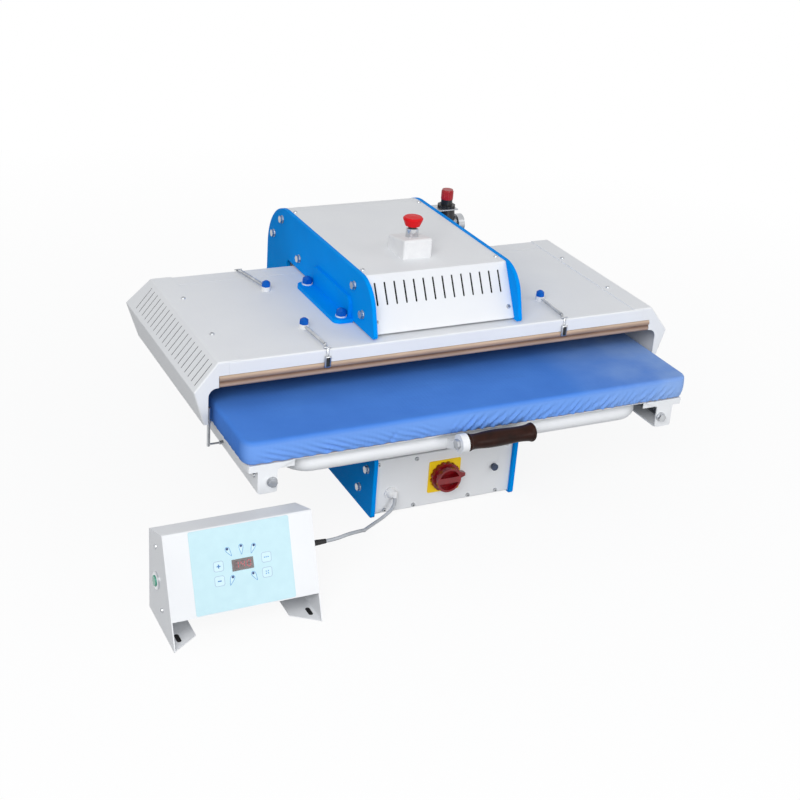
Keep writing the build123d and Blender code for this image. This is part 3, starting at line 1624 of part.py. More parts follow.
with BuildPart() as cable_glands:
    with BuildSketch(front_plane(panel_face)):
        with Locations((gland_x, gland_z)):
            Circle(gland_flange_radius)
    extrude(amount=3)
    with Locations((gland_x, panel_face, gland_z)):
        Sphere(gland_dome_radius)
    with BuildSketch(Plane(origin=nozzle_end, z_dir=-nozzle_way)):
        Circle(nozzle_radius)
    extrude(amount=nozzle_length, taper=-5)
    with BuildSketch(front_plane(panel_face)):
        with Locations((gland_x, gland_z)):
            Rectangle(4 * gland_flange_radius, 4 * gland_flange_radius)
    extrude(amount=-40, mode=Mode.SUBTRACT)
    with BuildSketch(Plane(origin=nozzle_end, z_dir=nozzle_way)):
        Circle(cable_radius + 1)
    extrude(amount=40, mode=Mode.SUBTRACT)
    with BuildSketch(front_plane(panel_face)):
        with Locations((gland_x, gland_z)):
            Circle(gland_hole_radius)
    extrude(amount=-12)
    with BuildSketch(front_plane(rear_face)):
        with Locations(mains_gland):
            Circle(gland_hole_radius)
    extrude(amount=12)
    with BuildSketch(front_plane(rear_face)):
        with Locations(mains_gland):
            RegularPolygon(11, 6, major_radius=False)
    extrude(amount=-8)
    with BuildSketch(front_plane(rear_face + 8)):
        with Locations(mains_gland):
            Circle(10)
    extrude(amount=-12, taper=14)
    with BuildSketch(front_plane(rear_face + 20)):
        with Locations(mains_gland):
            Circle(4)
    extrude(amount=34, mode=Mode.SUBTRACT)
save(cable_glands, "cable_glands")

with BuildPart() as controller_cable:
    corners = [Vector(*point) for point in cable_points]
    runs = [end - start for start, end in zip(corners, corners[1:])]
    turns = [radians(run.get_angle(next_run)) for run, next_run in zip(runs, runs[1:])]
    shorter = [min(run.length, next_run.length) for run, next_run in zip(runs, runs[1:])]
    cable_bends = [cable_bend_share * run / tan(turn / 2) for run, turn in zip(shorter, turns)]
    with BuildLine() as cable_line:
        FilletPolyline(*corners, radius=cable_bends)
    with BuildSketch(Plane(origin=corners[0], z_dir=runs[0])):
        Circle(cable_radius)
    sweep(path=cable_line.line)
save(controller_cable, "controller_cable")
cable_length = sum(edge.length for edge in cable_line.edges())
cable_section = pi * cable_radius ** 2
print("cable length", round(cable_length))
print("cable bend radii", [round(bend_radius) for bend_radius in cable_bends])
cable_volume_share = controller_cable.part.volume / cable_section / cable_length
print("cable volume over section by length", round(cable_volume_share, 4))


# pneumatic valve on the bottom pan
with BuildPart() as solenoid_valve:
    with BuildSketch(Plane.XY.offset(pan_thickness)):
        with Locations((valve_x, valve_y)):
            RectangleRounded(44, 70, 3)
    extrude(amount=valve_height)
    with BuildSketch(Plane.XY.offset(pan_thickness + valve_height)):
        with Locations((valve_x, valve_y - 15)):
            RectangleRounded(30, 32, 3)
    extrude(amount=coil_height)
save(solenoid_valve, "solenoid_valve")


# small domed screws on the covers, the base panel and the controller
with BuildPart() as panel_screws:
    places = [(Plane.XY.offset(head_top), head_screw_points)]
    places.append((Plane.XY.offset(cover_top), cover_screw_points))
    places.append((head_slope, panel_slope_screws))
    places.append((front_plane(panel_face), panel_screw_points))
    places.append((Plane(origin=(case_left, 0, 0), x_dir=(0, -1, 0), z_dir=(-1, 0, 0)),
                   [(-y, z) for y, z in case_screw_points]))
    places.append((side_plane(case_right), case_screw_points))
    for plane, points in places:
        with BuildSketch(plane):
            with Locations(*points):
                Circle(small_head_radius)
        extrude(amount=small_head_height, taper=20)
        with BuildSketch(plane):
            with Locations(*points):
                Circle(small_screw_radius)
        extrude(amount=-small_screw_length)
save(panel_screws, "panel_screws")
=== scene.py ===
# %% [markdown]
# # A flatbed fusing press, dressed for its picture
# The press glues interlining to cloth: a padded drawer slides under a heated plate, air lifts
# it, and the two squeeze the garment. Its plates, covers and slides come from the CAD model as
# a fixed frame. This lesson adds what CAD leaves plain: the finish of each surface, the cotton
# cover of the buck, the coated cloth on the heated plate, the springs and the control cable.

# %% Load the frame
import json
import math

import bmesh
import bpy
from mathutils import Matrix, Vector
from mathutils import noise as mathutils_noise


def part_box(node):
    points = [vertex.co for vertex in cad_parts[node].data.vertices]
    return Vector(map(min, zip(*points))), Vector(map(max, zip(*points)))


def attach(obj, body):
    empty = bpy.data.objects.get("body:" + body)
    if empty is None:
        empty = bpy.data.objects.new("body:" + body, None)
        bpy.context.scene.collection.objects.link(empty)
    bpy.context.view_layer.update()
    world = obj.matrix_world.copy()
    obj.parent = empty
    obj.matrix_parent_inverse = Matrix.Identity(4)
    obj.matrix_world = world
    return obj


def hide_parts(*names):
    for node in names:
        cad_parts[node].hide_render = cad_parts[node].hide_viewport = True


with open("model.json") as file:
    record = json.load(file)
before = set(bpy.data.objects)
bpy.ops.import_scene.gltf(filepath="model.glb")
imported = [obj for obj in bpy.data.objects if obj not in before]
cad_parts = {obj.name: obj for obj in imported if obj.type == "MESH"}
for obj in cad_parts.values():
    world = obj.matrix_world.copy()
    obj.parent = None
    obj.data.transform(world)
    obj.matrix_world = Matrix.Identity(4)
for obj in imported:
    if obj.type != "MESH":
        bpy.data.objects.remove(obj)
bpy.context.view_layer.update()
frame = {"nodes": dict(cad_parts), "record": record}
nodes = frame["nodes"]
millimetre = 0.001

# %% [markdown]
# ## Camera
# The photograph was taken from the front left, a little above the press, with a normal lens
# held slightly tilted. The camera stands where the edges of the press meet the photograph's.

# %% Camera at the photograph's place
camera_place = Vector((-1.1681, -2.3138, 1.3595))
camera_ahead = Vector((0.4171, 0.8013, -0.4289))
camera_right = Vector((0.8998, -0.4304, 0.0709))
camera_lens = 62.98
camera_shift = (-0.0004, -0.0195)

camera_data = bpy.data.cameras.new("photo_camera")
camera_data.lens = camera_lens
camera_data.sensor_width = 36
camera_data.shift_x = camera_shift[0]
camera_data.shift_y = camera_shift[1]
camera_data.clip_end = 50
camera = bpy.data.objects.new("photo_camera", camera_data)
bpy.context.scene.collection.objects.link(camera)
backward = -camera_ahead.normalized()
rightward = (camera_right - backward * camera_right.dot(backward)).normalized()
upward = backward.cross(rightward)
turn = Matrix((rightward, upward, backward)).transposed()
camera.matrix_world = Matrix.Translation(camera_place) @ turn.to_4x4()
bpy.context.scene.camera = camera
bpy.context.scene.view_settings.view_transform = "Standard"
print("camera at", [round(value, 3) for value in camera.location])

# %% [markdown]
# ## Control cable
# A round grey cable of 6.5 mm runs from the controller's strain relief down to the bench and
# up into the white gland of the base. The photograph shows it from end to end. A smooth NURBS
# curve with the route's own points hangs like a soft cable, where straight runs look like wire.
# Its finish is given further down, where the finishes are made.

# %% Control cable
cable_diameter = 6.5 * millimetre
cable_route = [
    (-0.3240, -0.4635, 0.0905),
    (-0.3050, -0.4635, 0.0905),
    (-0.2745, -0.4480, 0.0855),
    (-0.2260, -0.4150, 0.0650),
    (-0.2000, -0.3530, 0.0210),
    (-0.1670, -0.3155, 0.0036),
    (-0.1310, -0.2965, 0.0050),
    (-0.1089, -0.2970, 0.0238),
    (-0.1073, -0.2898, 0.0378),
]
cable_curve = bpy.data.curves.new("control_cable", "CURVE")
cable_curve.dimensions = "3D"
cable_spline = cable_curve.splines.new("NURBS")
cable_spline.points.add(len(cable_route) - 1)
for point, place in zip(cable_spline.points, cable_route):
    point.co = (*place, 1.0)
    point.radius = cable_diameter / 2
cable_spline.order_u = 3
cable_spline.use_endpoint_u = True
cable_spline.resolution_u = 16
cable_curve.bevel_depth = 1.0  # the points' own radius gives the thickness
cable_curve.bevel_resolution = 5
control_cable = bpy.data.objects.new("control_cable", cable_curve)
bpy.context.scene.collection.objects.link(control_cable)
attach(control_cable, "frame")
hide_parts("controller_cable")
print("cable with", len(cable_route), "points")

# %% [markdown]
# ## Helpers for finishes
# A finish is a Principled shader with a few texture nodes. Colours are written as the hex
# values that a paint chart gives, and one function turns them to the linear values of light.

# %% Colours and shader nodes
def linear(hex_colour):
    """The linear colour that a shader needs, from an sRGB hex value such as #0A84DE."""
    channels = [int(hex_colour[start:start + 2], 16) / 255 for start in (1, 3, 5)]
    light = [c / 12.92 if c <= 0.04045 else ((c + 0.055) / 1.055) ** 2.4 for c in channels]
    return (*light, 1.0)


def add_node(material, kind, inputs=None, **properties):
    """Add a shader node; an input gets a value, or a link where another node's socket is given."""
    node = material.node_tree.nodes.new(kind)
    for name, value in properties.items():
        setattr(node, name, value)
    for name, value in (inputs or {}).items():
        if isinstance(value, bpy.types.NodeSocket):
            material.node_tree.links.new(value, node.inputs[name])
        else:
            node.inputs[name].default_value = value
    return node


def start_finish(name, **sockets):
    """A new material with one Principled shader; the words before each = are its sockets."""
    material = bpy.data.materials.new(name)
    material.use_nodes = True
    material.node_tree.nodes.clear()
    settings = {word.replace("_", " ").title().replace("Ior", "IOR"): value
                for word, value in sockets.items()}
    shader = add_node(material, "ShaderNodeBsdfPrincipled", settings)
    add_node(material, "ShaderNodeOutputMaterial", {"Surface": shader.outputs[0]})
    place = add_node(material, "ShaderNodeTexCoord").outputs["Object"]
    return material, shader, place


def feed(material, shader, **links):
    """Link texture sockets to the shader's sockets."""
    for word, socket in links.items():
        material.node_tree.links.new(socket, shader.inputs[word.replace("_", " ").title()])


print("mid grey #808080 reflects", round(linear("#808080")[0], 3), "of the light")

# %% [markdown]
# ## Powder coat
# The covers, the plates and the controller are sheet steel with baked powder. The powder melts
# to a satin skin with a fine orange peel of about a millimetre, and it shows faint clouds where
# it is thinner. Noise at those two sizes gives both.

# %% Powder coat
def powder_coat(name, colour, shade, roughness, specular=0.3, peel_mm=1.4, cloud_mm=120):
    """Baked powder with a fine orange peel and faint clouds between two tones."""
    material, shader, place = start_finish(
        name, roughness=roughness, ior=1.5, specular_ior_level=specular)
    peel = add_node(material, "ShaderNodeTexNoise", {
        "Vector": place, "Scale": 1000 / peel_mm, "Detail": 1.0})
    cloud = add_node(material, "ShaderNodeTexNoise", {
        "Vector": place, "Scale": 1000 / cloud_mm, "Detail": 4.0})
    tone = add_node(material, "ShaderNodeValToRGB", {"Fac": cloud.outputs["Fac"]})
    for stop, position, paint in zip(tone.color_ramp.elements, (0.3, 0.7), (shade, colour)):
        stop.position, stop.color = position, linear(paint)
    bump = add_node(material, "ShaderNodeBump", {
        "Height": peel.outputs["Fac"], "Strength": 0.12, "Distance": 0.0002})
    feed(material, shader, base_color=tone.outputs["Color"], normal=bump.outputs["Normal"])
    return material


print("an orange peel of 1.4 mm is a noise of scale", round(1000 / 1.4))

# %% [markdown]
# ## Metals
# Zinc-plated screws and slides are pale and slightly cloudy, plain steel is darker, and chrome
# is a mirror. The pattern is a fine noise, stretched along X for what was drawn or brushed.

# %% Metals
def metal(name, colour, shade, roughness, grain_mm=0.6, cloud_mm=25, stretch=6.0, bump_strength=0.1):
    """Metal with a drawn grain along X, whose gloss follows its clouds."""
    material, shader, place = start_finish(name, metallic=1.0)
    drawn = add_node(material, "ShaderNodeMapping", {"Vector": place, "Scale": (1 / stretch, 1, 1)})
    grain = add_node(material, "ShaderNodeTexNoise",
                     {"Vector": drawn.outputs[0], "Scale": 1000 / grain_mm, "Detail": 3.0})
    cloud = add_node(material, "ShaderNodeTexNoise", {
        "Vector": place, "Scale": 1000 / cloud_mm, "Detail": 4.0})
    tone = add_node(material, "ShaderNodeValToRGB", {"Fac": cloud.outputs["Fac"]})
    for stop, position, paint in zip(tone.color_ramp.elements, (0.3, 0.7), (shade, colour)):
        stop.position, stop.color = position, linear(paint)
    gloss = add_node(material, "ShaderNodeMapRange", {
        "Value": cloud.outputs["Fac"], "To Min": roughness * 0.8, "To Max": roughness * 1.25})
    bump = add_node(material, "ShaderNodeBump",
                    {"Height": grain.outputs["Fac"], "Strength": bump_strength, "Distance": 0.0001})
    feed(material, shader, base_color=tone.outputs["Color"], roughness=gloss.outputs[0],
         normal=bump.outputs["Normal"])
    return material


print("a grain of 0.6 mm is a noise of scale", round(1000 / 0.6))

# %% [markdown]
# ## Moulded plastics
# Buttons, caps, knobs and switch bodies are moulded. A polished mould leaves a gloss with
# faint flow marks, and an eroded one leaves a grain of about half a millimetre.

# %% Moulded plastics
def plastic(name, colour, shade, roughness, grain_mm=0.5, flow_mm=18, bump_strength=0.05,
            coat=0.0, specular=0.5):
    """Moulded plastic with flow marks between two tones and the mould's grain."""
    material, shader, place = start_finish(
        name, roughness=roughness, ior=1.46, coat_weight=coat, specular_ior_level=specular)
    grain = add_node(material, "ShaderNodeTexNoise", {
        "Vector": place, "Scale": 1000 / grain_mm, "Detail": 2.0})
    flow = add_node(material, "ShaderNodeTexNoise", {
        "Vector": place, "Scale": 1000 / flow_mm, "Detail": 3.0})
    tone = add_node(material, "ShaderNodeValToRGB", {"Fac": flow.outputs["Fac"]})
    for stop, position, paint in zip(tone.color_ramp.elements, (0.3, 0.75), (shade, colour)):
        stop.position, stop.color = position, linear(paint)
    bump = add_node(material, "ShaderNodeBump",
                    {"Height": grain.outputs["Fac"], "Strength": bump_strength, "Distance": 0.0001})
    feed(material, shader, base_color=tone.outputs["Color"], normal=bump.outputs["Normal"])
    return material


print("a grain of 0.5 mm is a noise of scale", round(1000 / 0.5))

# %% [markdown]
# ## Cotton of the buck
# The drawer's cover is a tight blue cotton with a plain weave, washed many times. Cotton scatters
# light in its fibres, so it has a soft sheen and hardly any gloss. Its weave is drawn at 1.2 mm,
# coarser than the real 0.4 mm thread, so that a near view shows it. Soft creases of 9 mm and
# clouds of 70 mm break the flat colour. The front skirt is painted paler, as painted light from
# the frontal lamp, and a painted sheen pales the cloth towards its right end.

# %% Cotton of the buck
# painted light: between these heights and depths the front skirt is mixed towards a paler blue
lit_skirt_heights = (0.2625, 0.254)
lit_front_depths = (-0.370, -0.395)
# painted sheen: the cloth is mixed paler towards its right end between these places along X
sheen_end = (0.20, 0.46)


def woven_cloth(name, colour, shade, lit_front_colour, sheen_colour, thread_mm=1.2, crease_mm=9, cloud_mm=70):
    """Plain weave with creases and clouds, painted light on its front skirt, painted sheen at its right
    end.
    """
    material, shader, place = start_finish(
        name, roughness=0.9, specular_ior_level=0.04, sheen_weight=0.04, sheen_roughness=0.6)
    warp, weft = [
        add_node(material, "ShaderNodeTexWave", {
            "Vector": place, "Scale": 1000 / thread_mm / 20, "Distortion": 0.6}, bands_direction=way)
        for way in "XY"]
    weave = add_node(material, "ShaderNodeMath",
                     {0: warp.outputs["Fac"], 1: weft.outputs["Fac"]}, operation="ADD")
    long_way = add_node(material, "ShaderNodeMapping", {"Vector": place, "Scale": (0.35, 1, 1)})
    crease = add_node(material, "ShaderNodeTexNoise", {
        "Vector": long_way.outputs[0], "Scale": 1000 / crease_mm / 4, "Detail": 3.0, "Distortion": 0.8})
    cloud = add_node(material, "ShaderNodeTexNoise", {
        "Vector": place, "Scale": 1000 / cloud_mm, "Detail": 4.0})
    tone = add_node(material, "ShaderNodeValToRGB", {"Fac": cloud.outputs["Fac"]})
    for stop, position, paint in zip(tone.color_ramp.elements, (0.3, 0.72), (shade, colour)):
        stop.position, stop.color = position, linear(paint)
    spot = add_node(material, "ShaderNodeSeparateXYZ", {"Vector": place})
    # painted light on the front skirt, where the frontal lamp falls on it
    skirt = add_node(material, "ShaderNodeMapRange", {
        "Value": spot.outputs["Z"], "From Min": lit_skirt_heights[0], "From Max": lit_skirt_heights[1],
        "To Max": 0.85})
    front = add_node(material, "ShaderNodeMapRange", {
        "Value": spot.outputs["Y"], "From Min": lit_front_depths[0], "From Max": lit_front_depths[1]})
    front_light_share = add_node(material, "ShaderNodeMath",
                   {0: skirt.outputs[0], 1: front.outputs[0]}, operation="MULTIPLY")
    front_lit = add_node(material, "ShaderNodeMix", {
        "Factor": front_light_share.outputs[0], "A": tone.outputs["Color"], "B": linear(lit_front_colour)}, data_type="RGBA")
    soft = add_node(material, "ShaderNodeBump",
                    {"Height": crease.outputs["Fac"], "Strength": 0.5, "Distance": 0.002})
    fine = add_node(material, "ShaderNodeBump", {
        "Height": weave.outputs[0], "Strength": 0.25, "Distance": 0.0002,
        "Normal": soft.outputs["Normal"]})
    # painted sheen towards the right end, patchy with the clouds
    far_end = add_node(material, "ShaderNodeMapRange", {
        "Value": spot.outputs["X"], "From Min": sheen_end[0], "From Max": sheen_end[1],
        "To Max": 0.9})
    sheen_share = add_node(material, "ShaderNodeMath",
                       {0: far_end.outputs[0], 1: cloud.outputs["Fac"]}, operation="MULTIPLY")
    pale = add_node(material, "ShaderNodeMix", {
        "Factor": sheen_share.outputs[0], "A": front_lit.outputs[2], "B": linear(sheen_colour)}, data_type="RGBA")
    feed(material, shader, base_color=pale.outputs[2], normal=fine.outputs["Normal"])
    return material


print("a thread of 1.2 mm is a wave of scale", round(1000 / 1.2 / 20))

# %% [markdown]
# ## Coated glass cloth
# The slip sheet under the heated plate is glass cloth coated with brown fluoropolymer, and the
# heat has browned it. A ramp over the height of the rolls paints their light and shade: paler over
# each roll, dark in the groove between them and a painted highlight along the top.

# %% Coated glass cloth
roll_heights = (0.2992, 0.3222)


def coated_cloth(name, bands, roughness, thread_mm=1.6, scorch_mm=14):
    """Coated cloth whose colour goes through bands of (share of the rolls' height, colour), which paint
    the rolls' shade and highlight.
    """
    material, shader, place = start_finish(name, roughness=roughness, specular_ior_level=0.3)
    height = add_node(material, "ShaderNodeSeparateXYZ", {"Vector": place})
    rise = add_node(material, "ShaderNodeMapRange", {
        "Value": height.outputs["Z"], "From Min": roll_heights[0], "From Max": roll_heights[1]})
    # the ramp paints the rolls' shade and highlight over their height
    band = add_node(material, "ShaderNodeValToRGB", {"Fac": rise.outputs[0]})
    ramp = band.color_ramp
    while len(ramp.elements) < len(bands):
        ramp.elements.new(0.5)
    for element, (position, colour) in zip(ramp.elements, bands):
        element.position = position
        element.color = linear(colour)
    stretch = add_node(material, "ShaderNodeMapping", {"Vector": place, "Scale": (0.2, 1, 1)})
    scorch = add_node(material, "ShaderNodeTexNoise", {
        "Vector": stretch.outputs[0], "Scale": 1000 / scorch_mm, "Detail": 5.0})
    tint = add_node(material, "ShaderNodeMapRange", {
        "Value": scorch.outputs["Fac"], "From Min": 0.3, "From Max": 0.7, "To Min": 0.86, "To Max": 1.1})
    browned = add_node(material, "ShaderNodeVectorMath", {
        0: band.outputs["Color"], "Scale": tint.outputs[0]}, operation="SCALE")
    thread = add_node(material, "ShaderNodeTexWave", {
        "Vector": place, "Scale": 1000 / thread_mm / 20, "Distortion": 0.5}, bands_direction="X")
    bump = add_node(material, "ShaderNodeBump",
                    {"Height": thread.outputs["Fac"], "Strength": 0.12, "Distance": 0.0002})
    feed(material, shader, base_color=browned.outputs[0], normal=bump.outputs["Normal"])
    return material


print("a thread of 1.6 mm is a wave of scale", round(1000 / 1.6 / 20))

# %% [markdown]
# ## Finishes of the record's slots
# The record gives each CAD node a material slot. Each slot gets one finish here, and the new
# pieces further down take theirs from the same list.

# %% Finishes of the record's slots
# painted shade and highlight of the rolls: paler over each roll, dark in the groove, palest along the
# top
roll_shade_bands = [(0.0, "#957A6A"), (0.22, "#B49B8B"), (0.45, "#7A6052"),
                (0.53, "#A18877"), (0.78, "#AE9482"), (0.95, "#D0B8A0")]
finishes = {
    "white_paint": powder_coat("white_powder_coat", "#EEF0F2", "#EAECEF", 0.42),
    "blue_paint": powder_coat("blue_powder_coat", "#0098F6", "#0090EE", 0.5, specular=0.02),
    "zinc_steel": metal("zinc_plated_steel", "#C9CBCE", "#AEB1B5", 0.34),
    "grey_steel": metal("plain_steel", "#8E9094", "#707276", 0.4),
    "chrome": metal("polished_chrome", "#D8DADD", "#CDD0D4", 0.12, bump_strength=0.02),
    "bronze": metal("sintered_bronze", "#B98F55", "#9C7744", 0.45),
    "cast_aluminium": metal("machined_aluminium", "#C8CACC", "#B4B6B9", 0.38),
    "insulation": plastic("pressed_fibre_board", "#D8D2C4", "#C8C0AE", 0.95, bump_strength=0.5),
    "ptfe_cloth": coated_cloth("coated_glass_cloth", roll_shade_bands, 0.5),
    # the third colour is the front skirt's painted light, the fourth the right end's painted sheen
    "blue_cloth": woven_cloth("washed_blue_cotton", "#4C88E2", "#4681DC", "#78A7F2", "#AEC6E4"),
    "foam": plastic("pressing_foam", "#E8E2D0", "#D8D0BA", 0.95, grain_mm=1.5, bump_strength=0.6),
    "board": plastic("birch_plywood", "#C9A877", "#B8945F", 0.7),
    "brown_grip": plastic("dark_turned_grip", "#2E130A", "#1C0A05", 0.42, grain_mm=1.2,
                          bump_strength=0.3, specular=0.15),
    "blue_plastic": plastic("blue_cap_plastic", "#0063C6", "#0058B6", 0.35, specular=0.2),
    "white_plastic": plastic("white_nylon", "#ECEDEE", "#E4E5E7", 0.45),
    "black_plastic": plastic("black_abs", "#1C1D1F", "#141516", 0.4),
    "red_plastic": plastic("red_button_plastic", "#E40A18", "#D60814", 0.45, specular=0.25),
    "dark_red_plastic": plastic("dark_red_knob_plastic", "#940C18", "#760812", 0.2, coat=0.25),
    "navy_plastic": plastic("navy_button_plastic", "#17355A", "#10294A", 0.25, coat=0.4),
    "green_plastic": plastic("green_button_plastic", "#1F9E80", "#188C70", 0.25, coat=0.4),
    "yellow_plate": plastic("yellow_anodised_plate", "#FFDA0C", "#F8CE08", 0.45),
    "overlay": plastic("printed_polyester_film", "#C8E8F0", "#C2E3EC", 0.45),
    "black_rubber": plastic("black_moulded_rubber", "#1A1A1B", "#121213", 0.6),
    "grey_cable": plastic("grey_pvc_jacket", "#B9BDC2", "#A9ADB3", 0.5),
}
for part in frame["record"]["subparts"]:
    for material_slot in nodes[part["node"]].material_slots:
        material_slot.material = finishes[part["material_slot"]]
own_finishes = {
    "regulator_knob": plastic("deep_red_knob_plastic", "#B0121E", "#9A0D18", 0.35, coat=0.08),
    "pressure_gauge": metal("chromed_gauge_case", "#C4C6C9", "#B0B3B7", 0.25),
}
for node_name, finish in own_finishes.items():
    for material_slot in nodes[node_name].material_slots:
        material_slot.material = finish
cable_curve.materials.append(finishes["grey_cable"])
print("finishes", len(finishes), "on", len(nodes), "CAD nodes")

# %% [markdown]
# ## Small finishes of added pieces
# The overlay's print, the display, the gauge's dial and the painted shade behind the vents are
# too small for a slot of their own. Ink is matt and has a faint grain, the painted shade throws
# back almost no light, and the display's window is dark glossy acrylic.

# %% Inks and windows
print_inks = {
    "pale": plastic("pale_blue_ink", "#D2EDF5", "#CCE9F2", 0.45),
    "line": plastic("light_blue_ink", "#5FA6DA", "#569DD3", 0.45),
    "outline": plastic("grey_blue_ink", "#9DB7D2", "#93AECB", 0.45),
    "sign": plastic("mid_blue_ink", "#3F84C4", "#387BBB", 0.45),
    "dot": plastic("dark_blue_ink", "#133C78", "#0F3068", 0.4),
    "window": plastic("smoked_acrylic_window", "#3A2326", "#2E1A1D", 0.15),
    "digit": plastic("red_display_segment", "#D4505A", "#B94450", 0.4),
    "dim_digit": plastic("unlit_display_segment", "#5B2A2E", "#4E2226", 0.4),
    "dial": plastic("white_enamel_dial", "#F2F2EE", "#EAEAE6", 0.4),
    "mark": plastic("black_dial_ink", "#1B1B1D", "#131315", 0.5),
    "recess": plastic("shadowed_recess", "#2B2D30", "#1F2123", 0.7),
    # painted shade: a black block behind the vents stands for the shade inside them
    "vent_shade": plastic("black_vent_shade", "#060607", "#040404", 1.0),
}
gauge_glass = start_finish("clear_gauge_glass", base_color=linear("#F4F8F8"), roughness=0.04, ior=1.5,
                           transmission_weight=1.0, alpha=0.25)[0]
print("inks", len(print_inks))

# %% [markdown]
# ## Helpers for modelling
# An operator acts on all that is selected, and the CAD nodes are still selected after loading.
# These helpers deselect first, pick faces or edges by their place, apply a modifier, and leave a
# finished piece with its object at the origin and its place in its mesh.

# %% Helpers for modelling
def start_clean():
    """Deselect everything, because an operator acts on all that is selected."""
    bpy.ops.object.select_all(action="DESELECT")


def pick(piece, mode, wanted):
    """Select the faces, edges or vertices for which wanted(middle, normal) is true, in edit mode."""
    bpy.context.view_layer.objects.active = piece
    bpy.ops.object.mode_set(mode="EDIT")
    bpy.ops.mesh.select_mode(type=mode)
    bpy.ops.mesh.select_all(action="DESELECT")
    shape = bmesh.from_edit_mesh(piece.data)
    for element in {"VERT": shape.verts, "EDGE": shape.edges, "FACE": shape.faces}[mode]:
        if mode == "FACE":
            chosen = wanted(element.calc_center_median(), element.normal)
        elif mode == "EDGE":
            ends = [vertex.co for vertex in element.verts]
            chosen = wanted((ends[0] + ends[1]) / 2, (ends[1] - ends[0]).normalized())
        else:
            chosen = wanted(element.co, element.normal)
        element.select_set(chosen)
    shape.select_flush(True)
    bmesh.update_edit_mesh(piece.data)


def leave_edit():
    bpy.ops.object.mode_set(mode="OBJECT")


def pull_out(x, y, z):
    """Extrude what is picked, along x, y and z."""
    bpy.ops.mesh.extrude_region_move(TRANSFORM_OT_translate={"value": (x, y, z)})


def use_second_material(piece):
    """Give the picked faces the second of the piece's materials."""
    piece.active_material_index = 1
    bpy.ops.object.material_slot_assign()


def fix_place():
    """Put the place, turn and scale of what is selected into its mesh."""
    bpy.ops.object.transform_apply(location=True, rotation=True, scale=True)


def apply_modifier(piece, kind, **settings):
    """Add a modifier with its settings and apply it to the mesh."""
    modifier = piece.modifiers.new(kind.lower(), kind)
    for word, value in settings.items():
        setattr(modifier, word, value)
    start_clean()
    piece.select_set(True)
    bpy.context.view_layer.objects.active = piece
    bpy.ops.object.modifier_apply(modifier=modifier.name)


def settle(piece, name, *materials, smooth=30):
    """Name a piece, put its place into its mesh, smooth it and give it its materials."""
    start_clean()
    piece.select_set(True)
    bpy.context.view_layer.objects.active = piece
    fix_place()
    piece.name = name
    piece.data.name = name
    for material in materials:
        piece.data.materials.append(material)
    if smooth:
        bpy.ops.object.shade_smooth_by_angle(angle=math.radians(smooth))
    return piece


def join(pieces, name):
    """Join pieces into one, which keeps the materials of each."""
    start_clean()
    for piece in pieces:
        piece.select_set(True)
    bpy.context.view_layer.objects.active = pieces[0]
    bpy.ops.object.join()
    joined = bpy.context.object
    joined.name = name
    joined.data.name = name
    return joined


def copy_piece(piece, turn=None):
    """A copy with its own mesh, moved or turned by a matrix."""
    twin = piece.copy()
    twin.data = piece.data.copy()
    bpy.context.scene.collection.objects.link(twin)
    if turn is not None:
        twin.data.transform(turn)
        if turn.determinant() < 0:
            twin.data.flip_normals()
    return twin


# %% [markdown]
# ## Cover of the buck
# The buck is a board with a foam pad, and its cover is one piece of cotton of about 1 m x 0.5 m
# that an elastic in its hem draws under the edge. The elastic gathers the cloth: the front skirt
# is full of slanting puckers, while the top is stretched smooth. A flat grid makes the top. Its
# border goes on over a soft edge of 7 mm and down the skirt, row by row, and each point of the
# skirt moves in or out by the pucker field. Code suits this better than a cloth simulation,
# because the photograph shows where each group of puckers leans.

# %% Outline and sizes of the cover
cover_low = Vector((-0.450, -0.398, 0.2196))
cover_high = Vector((0.450, 0.002, 0.263))
edge_round = 0.007
corner_round = 0.022
cloth_thickness = 0.0006
cloth_top = cover_high.z - 0.0002
skirt_top = cover_high.z - edge_round
skirt_foot = 0.2225
top_half = Vector(((cover_high.x - cover_low.x) / 2 - edge_round,
                   (cover_high.y - cover_low.y) / 2 - edge_round))
top_middle = Vector(((cover_high.x + cover_low.x) / 2, (cover_high.y + cover_low.y) / 2))
inner_corner = corner_round - edge_round


def eased(value, low, high):
    """0 below low, 1 above high and a smooth step between."""
    share = min(max((value - low) / (high - low), 0.0), 1.0)
    return share * share * (3 - 2 * share)


def drift(x, scale, seed):
    """A smooth wander from -1 to 1 along x, the same each run."""
    return mathutils_noise.noise(Vector((x / scale, seed * 7.3, 0.5)))


def outline_place(across, along):
    """A point of the square -1..1 on the rounded top, and the outward direction if on its rim."""
    x = across * top_half.x
    y = along * top_half.y
    over_x = abs(x) - (top_half.x - inner_corner)
    over_y = abs(y) - (top_half.y - inner_corner)
    outward = Vector((math.copysign(1, x), 0)) if over_x > over_y else Vector((0, math.copysign(1, y)))
    if over_x > 0 and over_y > 0:
        a = over_x / inner_corner
        b = over_y / inner_corner
        on_disc = Vector((a * math.sqrt(1 - b * b / 2), b * math.sqrt(1 - a * a / 2)))
        outward = Vector((math.copysign(on_disc.x, x), math.copysign(on_disc.y, y))).normalized()
        x = math.copysign(top_half.x - inner_corner + on_disc.x * inner_corner, x)
        y = math.copysign(top_half.y - inner_corner + on_disc.y * inner_corner, y)
    return Vector((x + top_middle.x, y + top_middle.y)), outward


print("flat top", [round(2 * value, 4) for value in top_half])


# %% [markdown]
# ## Puckers of the skirt
# The elastic draws a long edge of cloth under a shorter board, so the cloth ripples. At the right
# of the front the puckers slant steeply, at the left they lie long and shallow, and a deep fold
# parts the two. A few sine waves, whose phase wanders, give each group its own lean.

